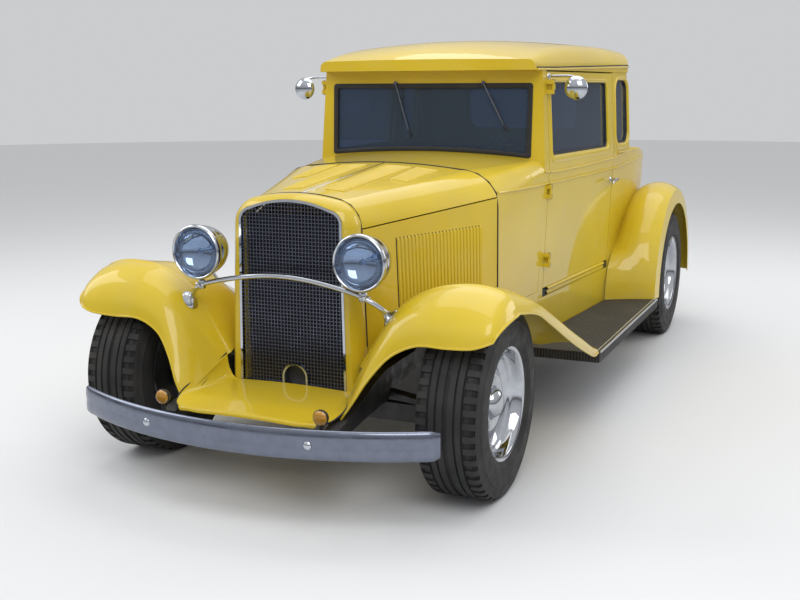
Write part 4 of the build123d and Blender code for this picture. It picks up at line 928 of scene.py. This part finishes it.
# %% Running board trim
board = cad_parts["running_boards"].data.vertices
board_from, board_to = min(vert.co.y for vert in board), max(vert.co.y for vert in board)
board_level, board_side = max(vert.co.z for vert in board), max(vert.co.x for vert in board)
for side, sign in both_sides:
    lines = []
    for inward, radius in ((3, 5.0), (19, 4.5)):
        x, z = sign * (board_side - inward * MM), board_level + 0.4 * MM
        ends = (board_from + 16 * MM, board_to - 4 * MM)
        lines.append(([Vector((x, y, z)) for y in ends], radius))
    bent(f"board_trim_{side}", lines, "chrome")
print("board from", round(board_from, 3), "to", round(board_to, 3), "level", round(board_level, 3))

# %% [markdown]
# ## Roof edge and welts
# A drip rail turns rain away from the door, and the roof's fabric edge shows as a dark line over
# it. Where the hood meets its neighbours it lies on a woven welt, and those lines draw the car.

# %% Drip rails
drip_rows = ((1085, 1453), (1280, 1455), (1805, 1467), (2300, 1478), (2420, 1480))
dark_rows = [(station, z + 8) for station, z in drip_rows]
for side, sign in both_sides:
    bead(f"drip_rail_{side}", sign, ("roof",), drip_rows, 5.0, lift=0.5)
    bead(f"drip_line_{side}", sign, ("roof",), dark_rows, 3.0, finish_name="black_rubber", lift=0.1)
print("drip rails", 2)

# %% Welts round the hood
welt_parts = 40
welt_rows = (
    # name, solid, station, height of the centre, first turn, last turn, proud, radius
    ("welt_cowl", "cowl", 656.5, 700, -20, 200, 0.96, 3.2),
    ("welt_shell", "grille_shell", -52, 640, -30, 210, 0.9, 3.0),
)
for name, solid, station, centre_z, first, last, proud, radius in welt_rows:
    turns = [radians(first + (last - first) * number / welt_parts) for number in range(welt_parts + 1)]
    ways = [Vector((cos(turn), 0, sin(turn))) for turn in turns]
    fan(name, (solid,), at(0, station, centre_z), ways, proud, radius, "black_rubber")

# %% [markdown]
# Below the grille is the round hole where a crank would go in. A hole can't be cut in a solid
# that must stay as it is, so a thin black disc over it is painted shade for the dark inside.

# %% Crank hole
hole_place, hole_radius = at(10, -104, 374), 41
disc = [(0, 0), (0, hole_radius), (2, hole_radius), (2, 0)]
turned("crank_hole_shade", [(disc, hole_place, 40, "Y")], "black_rubber")
print("crank hole at", hole_place)

# %% [markdown]
# ## Lamps on their bar
# The headlamps are deep plated bowls with a rolled rim, a reflector inside and a clear lens in
# front. They stand on a bar that bows up between the fenders and ends in flared feet. A turned
# outline makes the bowl, and a bevelled curve the bar, because the bar's bends run on smoothly.
# A short stiff conduit takes the wires down from the back of each bowl.

# %% Headlamps
lamp_x, lamp_station, lamp_z, lamp_depth = 317, -230, 817, 135
bowl_from, bowl_radius, bowl_parts = 13, 91.5, 14
mirror_deep, mirror_radius = 62, 85
bowl = [(-9, 87.5), (-12, 89.5), (-13, 92), (-11, 95), (-5, 97.3), (2, 97.6), (8, 95.5), (11, 92.5)]
for number in range(bowl_parts + 1):
    turn = number / bowl_parts * pi / 2
    bowl.append((bowl_from + (lamp_depth - bowl_from) * sin(turn), bowl_radius * cos(turn) ** 0.8))
turns = [number * pi / 18 for number in range(1, 10)]
reflector = [(-8, 87.4), (-2, mirror_radius)]
reflector += [(-2 + mirror_deep * sin(turn), mirror_radius * cos(turn)) for turn in turns]
bulb = [(14, 0), (15, 6), (20, 10), (28, 11), (36, 8), (40, 7), (58, 7)]
for side, sign in both_sides:
    centre = at(sign * lamp_x, lamp_station, lamp_z)
    for what, profile, steps, finish_name, stands_for, sharp in (
        ("bowl", bowl, 72, "chrome", ("headlamps",), 50),
        ("reflector", reflector, 64, "chrome", (), 50),
        ("bulb", bulb, 24, "lamp_glass", (), 32),
    ):
        name = f"headlamp_{what}_{side}"
        turned(name, [(profile, centre, steps, "Y")], finish_name, stands_for=stands_for, sharp=sharp)
print("headlamps", 2)

# %% Lamp bar
bar_station, clamp_z, foot_x, foot_station = -205, 700, 402, -160
inner_columns = range(1, len(fender_grid[0]) - 1)
spots = [(row, column) for row in range(1, len(fender_grid) - 1) for column in inner_columns]


def off_foot(spot):
    """How far a place of the fender's grid is from the foot of the bar, seen from above."""
    place = fender_grid[spot[0]][spot[1]]
    return (place.x - foot_x) ** 2 + (place.y - foot_station) ** 2


row, column = min(spots, key=off_foot)
foot_place = fender_grid[row][column]
along_fender = fender_grid[row + 1][column] - fender_grid[row - 1][column]
over_fender = fender_grid[row][column + 1] - fender_grid[row][column - 1]
foot_out = over_fender.cross(along_fender).normalized()
foot_out = foot_out if foot_out.z > 0 else -foot_out
bar = bmesh.new()
line = [
    foot_place + foot_out * 14,
    foot_place + foot_out * 30 + Vector((2, -8, 10)),
    Vector((lamp_x + 22, bar_station, clamp_z - 12)),
    Vector((lamp_x - 20, bar_station, clamp_z + 6)),
    Vector((200, bar_station, 727)),
    Vector((100, bar_station, 743)),
]
half = [at(*spot) for spot in line]
other_half = [Vector((-place.x, place.y, place.z)) for place in half]
rod(bar, other_half + [at(0, bar_station, 749)] + half[::-1], 9, smooth=True, ring=5)
collar = [(-17, 0), (-17, 11), (-14, 14), (12, 14), (16, 11), (18, 8), (22, 8), (22, 0)]
bolt_head = [(0, 0), (0, 6), (9, 6), (11, 4), (12, 0)]
foot_shape = [(-4, 0), (-4, 27), (0, 29), (5, 26), (10, 18), (17, 12), (24, 9), (26, 0)]
for side, sign in both_sides:
    lathe(bar, collar, at(sign * lamp_x, bar_station, clamp_z), 24, "Z")
    lathe(bar, bolt_head, at(sign * (lamp_x + 15), bar_station, clamp_z - 2), 12, "X", sign)
    lathe(bar, bolt_head, at(sign * lamp_x, bar_station - 14, clamp_z - 4), 12, "Y", -1)
    foot = bmesh.new()
    lathe(foot, foot_shape, Vector((0, 0, 0)), 32, "Z")
    bmesh.ops.scale(foot, vec=(1, 1.3, 1), verts=foot.verts)
    out = Vector((sign * foot_out.x, foot_out.y, foot_out.z))
    bmesh.ops.rotate(foot, verts=foot.verts, matrix=out.to_track_quat("Z", "Y").to_matrix())
    bmesh.ops.translate(foot, verts=foot.verts, vec=at(sign * foot_place.x, foot_place.y, foot_place.z))
    keep(f"lamp_bar_foot_{side}", foot, "chrome", sharp=45)
keep("lamp_bar_bowed", bar, "chrome", stands_for=("lamp_bar",), sharp=45)
print("foot of the lamp bar", [round(part) for part in foot_place])

# %% Wires to the lamps
conduit = ((-30, 60, -84), (-42, 62, -108), (-66, 70, -112), (-82, 96, -104))
for side, sign in both_sides:
    line = [at(sign * (lamp_x + x), lamp_station + back, lamp_z + z) for x, back, z in conduit]
    bent(f"lamp_conduit_{side}", [(line, 5)], "wire_steel", smooth=True)
print("lamp conduits", 2)

# %% [markdown]
# The turn lamps stand on short posts on the apron and the tail lamps on the rear fenders. Both
# are turned: a housing that closes in round a domed lens, with the lens as a piece of its own so
# that it can be clear.

# %% Turn lamps and tail lamps
turn_place, tail_place = (300, -470, 362), (726, 3262, 470)
turn_shell = [(4, 0), (4, 14), (0, 22), (-8, 26), (-17, 27), (-19, 25.5), (-19, 23), (-14, 22)]
turn_post = [(0, 0), (0, 8), (-56, 8), (-60, 12), (-66, 12), (-66, 0)]
turn_dome = [(-15, 24), (-20, 24), (-24, 21), (-27, 14), (-28, 6), (-28, 0)]
tail_shell = [(-36, 0), (-36, 13), (-14, 13), (-13, 30), (2, 37), (14, 38), (17, 36), (17, 33), (12, 32)]
tail_dome = [(12, 33.5), (18, 33.5), (24, 29), (27, 18), (28, 8), (28, 0)]
for side, sign in both_sides:
    centre = at(sign * turn_place[0], *turn_place[1:])
    base = [(turn_shell, centre, 40, "Y"), (turn_post, centre + Vector((0, -0.012, 0)), 16, "Z")]
    turned(f"turn_lamp_base_{side}", base, "black_paint", stands_for=("turn_lamps",))
    turned(f"turn_lamp_lens_{side}", [(turn_dome, centre, 40, "Y")], "amber_glass")
    centre = at(sign * tail_place[0], *tail_place[1:])
    turned(f"tail_lamp_bezel_{side}", [(tail_shell, centre, 40, "Y")], "chrome", stands_for=("tail_lamps",))
    turned(f"tail_lamp_lens_{side}", [(tail_dome, centre, 40, "Y")], "red_glass")
print("small lamps", 4)

# %% [markdown]
# ## Bumpers
# Each bumper is one bowed bar of spring steel with a rounded face, its ends rolled back. One
# section is carried along the bow and the sections are bridged, narrower over the last few
# fingers' breadths. Domed bolts hold it to the irons. A rod whose thickness changes is made in
# the same way from rings, so one helper bridges both.


# %% Bridged sections
def bridged(shape, loops):
    """Bridges closed loops of points in turn and closes both ends."""
    rings = []
    for loop in loops:
        spots = [shape.verts.new(point) for point in loop]
        rings.append([shape.edges.new(pair) for pair in zip(spots, spots[1:] + spots[:1])])
    for first, second in zip(rings, rings[1:]):
        bmesh.ops.bridge_loops(shape, edges=first + second)
    for ring in (rings[0], rings[-1]):
        bmesh.ops.contextual_create(shape, geom=ring)


def tapered(shape, stops, ring=12):
    """Adds a rod through (point in metres, radius in mm, radius across), closed at its ends."""
    loops = []
    for number, (point, tall, wide) in enumerate(stops):
        before = stops[max(0, number - 1)][0]
        after = stops[min(len(stops) - 1, number + 1)][0]
        along = (after - before).normalized()
        across = along.cross(Vector((0, 0, 1)))
        across = across.normalized() if across.length > 0.01 else Vector((1, 0, 0))
        up = across.cross(along)
        turns = [2 * pi * step / ring for step in range(ring)]
        loops.append([point + across * wide * MM * cos(turn) + up * tall * MM * sin(turn) for turn in turns])
    bridged(shape, loops)


# %% Bumper bars
bumper_tall, bumper_thick, bolt_places = 98, 14, (-300, 300)
bow_parts, end_share, narrowing, flattening, end_curl = 32, 0.045, 0.16, 0.35, -9
bumper_rows = (
    # name, half width, station of the middle, bow, way to the car, lowest
    ("front", 681, -610, 181, 1, 250),
    ("rear", 740, 3700, 140, -1, 406),
)
section = (
    # share of the height, outward from the middle of the bar
    (0.00, -3), (0.02, 2.5), (0.08, 6.4), (0.26, 8.6), (0.42, 7.4), (0.50, 6.9), (0.58, 7.4), (0.74, 8.6),
    (0.92, 6.4), (0.98, 2.5), (1.00, -3), (0.96, -6.5), (0.50, -7), (0.04, -6.5),
)
bolt_dome = [(4, 0), (4, 15), (0, 15), (-2, 14), (-6, 9), (-8, 0)]
for name, half, middle, bow, way, low in bumper_rows:
    bend = (half**2 + bow**2) / (2 * bow)
    sweep_turn = atan2(half, bend - bow)
    loops = []
    for number in range(-bow_parts, bow_parts + 1):
        share = number / bow_parts
        turn = share * sweep_turn
        out = Vector((sin(turn), -way * cos(turn), 0))
        centre = at(0, middle + way * (bend + bumper_thick / 2), 0) + out * bend * MM
        edge = max(0.0, (abs(share) - (1 - end_share)) / end_share)
        tall = bumper_tall * (1 - narrowing * edge**2)
        curl = end_curl * edge**2
        lowest = low + (bumper_tall - tall) / 2
        loop = []
        for z, outward in section:
            flatter = outward * (1 - flattening * edge) + curl
            loop.append(centre + out * flatter * MM + Vector((0, 0, (lowest + z * tall) * MM)))
        loops.append(loop)
    bar = bmesh.new()
    bridged(bar, loops)
    keep(f"{name}_bumper_bar", bar, "bumper_steel", stands_for=("bumpers",), sharp=50)
    studs = []
    for bolt_x in bolt_places:
        station = middle + way * (bend - (bend**2 - bolt_x**2) ** 0.5)
        studs.append((bolt_dome, at(bolt_x, station, low + bumper_tall / 2), 24, "Y", way))
    turned(f"{name}_bumper_bolts", studs, "chrome")
print("bumpers", len(bumper_rows))

# %% [markdown]
# ## Louvres
# Slits pressed out of the hood let the engine's heat escape. Each is a rounded rib with an
# opening behind it, so a row of them reads as light and dark stripes. A half-sunk tapered rod
# makes the rib and a dark strip between two ribs stands for the shade of the opening.


# %% Louvres
def rib(shape, start, end, radius):
    """A half-sunk rib with rounded ends between two places."""
    way = (end - start).normalized() * MM
    curl = ((0, 0.3), (3, 0.75), (8, 1))
    stops = [(start + way * along, radius * share, radius * share) for along, share in curl]
    stops += [(end - way * along, radius * share, radius * share) for along, share in reversed(curl)]
    tapered(shape, stops, 10)


side_first, side_last, side_count, side_low, side_high = 112, 548, 25, 592, 853
side_rib, side_slit, top_rib = 6.0, 2.0, 5.6
top_rows = (
    # count, first station, pitch, inner x, first outer x, last outer x
    (27, 45, 19.9, 40, 124, 155),
    (12, 326, 21.4, 175, 245, 268),
)
for side, sign in both_sides:
    ribs, slits = bmesh.new(), bmesh.new()
    behind, ahead = Vector((sign * 1.6, 9, 0)) * MM, Vector((0, -1.5, 0)) * MM
    for number in range(side_count):
        station = side_first + (side_last - side_first) * number / (side_count - 1)
        ends = [beside(("hood_sides",), sign, station - 2, z) for z in (side_low - 4, side_high + 4)]
        rib(ribs, *[end + behind for end in ends], side_rib)
        rod(slits, [end + ahead for end in ends], side_slit)
    keep(f"side_louvres_{side}", ribs, "yellow_paint", sharp=60)
    keep(f"side_louvre_slits_{side}", slits, "black_rubber")
    ribs = bmesh.new()
    hood, above = f"hood_top_{side}", Vector((0, 8, 0.8)) * MM
    for count, first, pitch, inner, near, far in top_rows:
        for number in range(count):
            station = first + pitch * number
            outer = near + (far - near) * number / (count - 1)
            tops = [at(sign * x, station - 2, 1300) for x in (inner, outer + 4)]
            rib(ribs, *[look((hood,), top, Vector((0, 0, -1)))[0] + above for top in tops], top_rib)
    keep(f"top_louvres_{side}", ribs, "yellow_paint", f"hood_{side}_body", sharp=60)
print("louvres", 2 * (side_count + sum(row[0] for row in top_rows)))

# %% [markdown]
# ## Door furniture
# A round mirror on an arm stands off the top hinge, and the handle is a tapered lever on a
# turned boss. Both are lathe work, bent a little: the lever is a rod whose radius changes along
# its length. The hinges have their knuckles turned too, with a gap in the middle for the door's.

# %% Mirrors and handles
mirror_x, mirror_station, mirror_z = 650, 1178, 1375
arm_station, arm_z = 1212, 1425
handle_station, handle_z, handle_reach = 2068, 918, 36
mirror_back = [
    (-25, 0), (-24.6, 8), (-22.5, 20), (-18, 32), (-11, 42), (-4, 48), (0, 50), (3, 50.5), (5, 49), (5, 46),
]
arm_base = [(-2, 0), (-2, 15), (2, 14), (6, 9), (9, 7), (9, 0)]
handle_boss = [(-1, 0), (-1, 17), (2, 17), (4, 14), (6, 11), (24, 9)]
handle_boss += [(handle_reach - 4, 10), (handle_reach + 4, 7), (handle_reach + 6, 0)]
lever = (
    # along the car, up, half height, half depth
    (34, 2, 2.5, 2.5), (30, 2, 6.0, 4.2), (16, 1, 7.5, 5.4), (0, 0, 8.5, 6.0),
    (-30, 0, 7.0, 5.0), (-66, -3, 8.2, 5.4), (-90, -8, 7.0, 4.6), (-96, -10, 2.5, 2.0),
)
for side, sign in both_sides:
    trim = bmesh.new()
    head = at(sign * mirror_x, mirror_station, mirror_z)
    lathe(trim, mirror_back, head, 48, "Y")
    root, boss = [
        look((f"door_{side}",), at(sign * 900, station, z), Vector((-sign, 0, 0)))[0]
        for station, z in ((arm_station, arm_z), (handle_station, handle_z))
    ]
    knee = at(sign * (mirror_x - 34), arm_station - 6, arm_z + 1)
    drop = at(sign * (mirror_x - 2), mirror_station + 4, arm_z - 6)
    arm = [root, root.lerp(knee, 0.55), knee, drop, head + Vector((0, -0.006, 0.036))]
    rod(trim, arm, 5.5, smooth=True, ring=4)
    lathe(trim, arm_base, root, 24, "X", sign)
    lathe(trim, handle_boss, boss, 28, "X", sign)
    grip = boss + Vector((sign * handle_reach * MM, 0, 0))
    tapered(trim, [(grip + Vector((0, y * MM, z * MM)), tall, wide) for y, z, tall, wide in lever])
    body = f"door_{side}_body"
    keep(f"mirror_and_handle_{side}", trim, "chrome", body, (f"door_trim_{side}",), sharp=45)
    turned(f"mirror_glass_{side}", [([(5, 47), (5.4, 46.5), (5.4, 0)], head, 48, "Y")], "chrome", body)
print("mirrors and handles", 2)

# %% Hinges
hinge_x, hinge_station, hinge_heights = 549, 1186, (634, 934, 1380)
lower_knuckle = [(-34, 0), (-33, 4), (-31, 6.5), (-30, 8), (-13, 8), (-12, 6.5), (-12, 0)]
upper_knuckle = [(-along, radius) for along, radius in reversed(lower_knuckle)]
for side, sign in both_sides:
    for number, middle in enumerate(hinge_heights):
        pin = at(sign * hinge_x, hinge_station, middle)
        knuckles = [(lower_knuckle, pin, 20, "Z"), (upper_knuckle, pin, 20, "Z")]
        turned(f"hinge_{number}_{side}", knuckles, "hinge_paint_worn_and_shaded")
print("hinges", 2 * len(hinge_heights))

# %% [markdown]
# ## Inside the cab
# Behind the glass the eye looks for three things: a wheel with a thin rim, a row of dials and a
# soft bench. The bench is two cushions. Each starts as a smaller block with round corners, is
# blown up as cloth and then gets its piping, because a voxel remesh would wipe out a seam.

# %% Steering wheel
rim_radius, rim_parts = 0.189, 72
helm = at(290, 1400, 985)
column = Vector((0, -0.85, -0.527)).normalized()
side_way = Vector((1, 0, 0))
up_way = column.cross(side_way).normalized()


def spoke_way(turn):
    """The way out from the hub at a turn of the wheel."""
    return side_way * cos(turn) + up_way * sin(turn)


wheel = bmesh.new()
turns = [2 * pi * number / rim_parts for number in range(rim_parts)]
rim = [helm + column * 0.010 + spoke_way(turn) * rim_radius for turn in turns]
rod(wheel, rim, 10, closed=True, ring=4)
spoke = ((20, 4, 11), (60, 6, 9), (120, 8, 8), (186, 10, 9))
for number in range(3):
    out = spoke_way(pi / 2 + number * 2 * pi / 3)
    tapered(wheel, [(helm + out * reach * MM + column * deep * MM, 3, wide) for reach, deep, wide in spoke])
hub = ((-0.012, 4), (-0.010, 30), (0, 36), (0.012, 30), (0.05, 20), (0.80, 20))
tapered(wheel, [(helm + column * deep, radius, radius) for deep, radius in hub], ring=24)
keep("steering_wheel_rim", wheel, "cabin_trim", stands_for=("steering_wheel",), sharp=50)
print("steering wheel at", helm)

# %% Dials
bezels, dial_faces = [], []
for x, radius in ((-70, 28), (0, 46), (70, 28), (235, 22), (290, 22), (345, 22)):
    spot = at(x, 1125, 1018)
    bezel = [(-3, radius - 2), (3, radius - 1), (5, radius + 2), (3, radius + 5), (-3, radius + 6)]
    bezels.append((bezel, spot, 36, "Y"))
    dial_faces.append(([(0, radius), (0.5, radius - 1), (0.5, 0)], spot, 36, "Y"))
turned("dial_bezels", bezels, "chrome")
turned("dial_faces", dial_faces, "black_paint")
print("dials", len(dial_faces))

# %% [markdown]
# The bench has a base, a cushion and a back. The block that each cushion starts from is drawn
# smaller than the finished one, since pressure makes it swell most where it is widest, and no
# point may move further than the stuffing would let it.


# %% Cushion maker
voxel_size, pressure, cloth_frames = 12, 4, 20


def block(shape, outline, half, soft):
    """An outline of (station, height) carried across the car, with round edges."""
    spots = [shape.verts.new(at(-half, station, z)) for station, z in outline]
    edges = [shape.edges.new(pair) for pair in zip(spots, spots[1:] + spots[:1])]
    face = bmesh.ops.contextual_create(shape, geom=edges)["faces"]
    grown = bmesh.ops.extrude_face_region(shape, geom=face)["geom"]
    moved = [part for part in grown if isinstance(part, bmesh.types.BMVert)]
    bmesh.ops.translate(shape, verts=moved, vec=Vector((2 * half * MM, 0, 0)))
    bmesh.ops.bevel(
        shape, geom=shape.edges[:], affect="EDGES", offset=soft * MM, segments=4, profile=0.5, material=-1
    )
    bmesh.ops.recalc_face_normals(shape, faces=shape.faces)


def as_shown(carrier):
    """The mesh of an object with its modifiers."""
    return bpy.data.meshes.new_from_object(carrier.evaluated_get(bpy.context.evaluated_depsgraph_get()))


def blown(mesh, cap):
    """The mesh remeshed and swollen by cloth pressure, no point further than the cap in mm."""
    carrier = stand("cushion_work", mesh)
    voxels = carrier.modifiers.new("voxels", "REMESH")
    voxels.mode = "VOXEL"
    voxels.voxel_size = voxel_size * MM
    still = as_shown(carrier)
    carrier.modifiers.clear()
    carrier.data = still
    cloth = carrier.modifiers.new("cloth", "CLOTH")
    cloth.settings.use_pressure = True
    cloth.settings.uniform_pressure_force = pressure
    cloth.settings.effector_weights.gravity = 0
    for number in range(1, cloth_frames + 1):
        scene.frame_set(number)
    swollen = as_shown(carrier)
    for before, after in zip(still.vertices, swollen.vertices):
        step = after.co - before.co
        if step.length > cap * MM:
            after.co = before.co + step.normalized() * cap * MM
    still = swollen
    bpy.data.objects.remove(carrier)
    return still


# %% Bench
swell_cap, channel_pitch, channel_half, channel_depth = 16, 132, 13, 5
base_half, piping_bow = 440, 6
bench_rows = (
    # name, outline, half width, corner radius
    ("seat_cushion", ((1684, 566), (1680, 628), (2120, 622), (2138, 566)), 462, 26),
    ("seat_back", ((2152, 655), (2232, 1046), (2318, 1052), (2262, 655)), 462, 30),
)
for name, outline, half, soft in bench_rows:
    shape = bmesh.new()
    block(shape, outline, half, soft)
    start = bpy.data.meshes.new(name)
    shape.to_mesh(start)
    shape.free()
    soft_mesh = blown(start, swell_cap)
    for spot in soft_mesh.vertices:
        away = abs((spot.co.x / MM) % channel_pitch - channel_pitch / 2)
        spot.co += Vector(spot.normal) * -channel_depth * MM * max(0.0, 1 - away / channel_half) ** 2
    shape = bmesh.new()
    shape.from_mesh(soft_mesh)
    made = keep(name, shape, "seat_cloth", stands_for=("seat",), sharp=80)
    finer = made.modifiers.new("finer", "SUBSURF")
    finer.levels = finer.render_levels = 1
    print(name, len(made.data.vertices))
base = bmesh.new()
block(base, ((1700, 474), (1694, 552), (2200, 556), (2206, 474)), base_half, 8)
keep("seat_base", base, "cabin_trim", stands_for=("seat",))
piping = []
for edge_station, edge_z in ((1684, 640), (2236, 1066)):
    places = range(-base_half, base_half + 1, 40)
    line = [at(x, edge_station, edge_z - piping_bow * (x / base_half) ** 2) for x in places]
    piping.append((line, 4.5))
bent("seat_piping", piping, "cabin_trim", smooth=True)
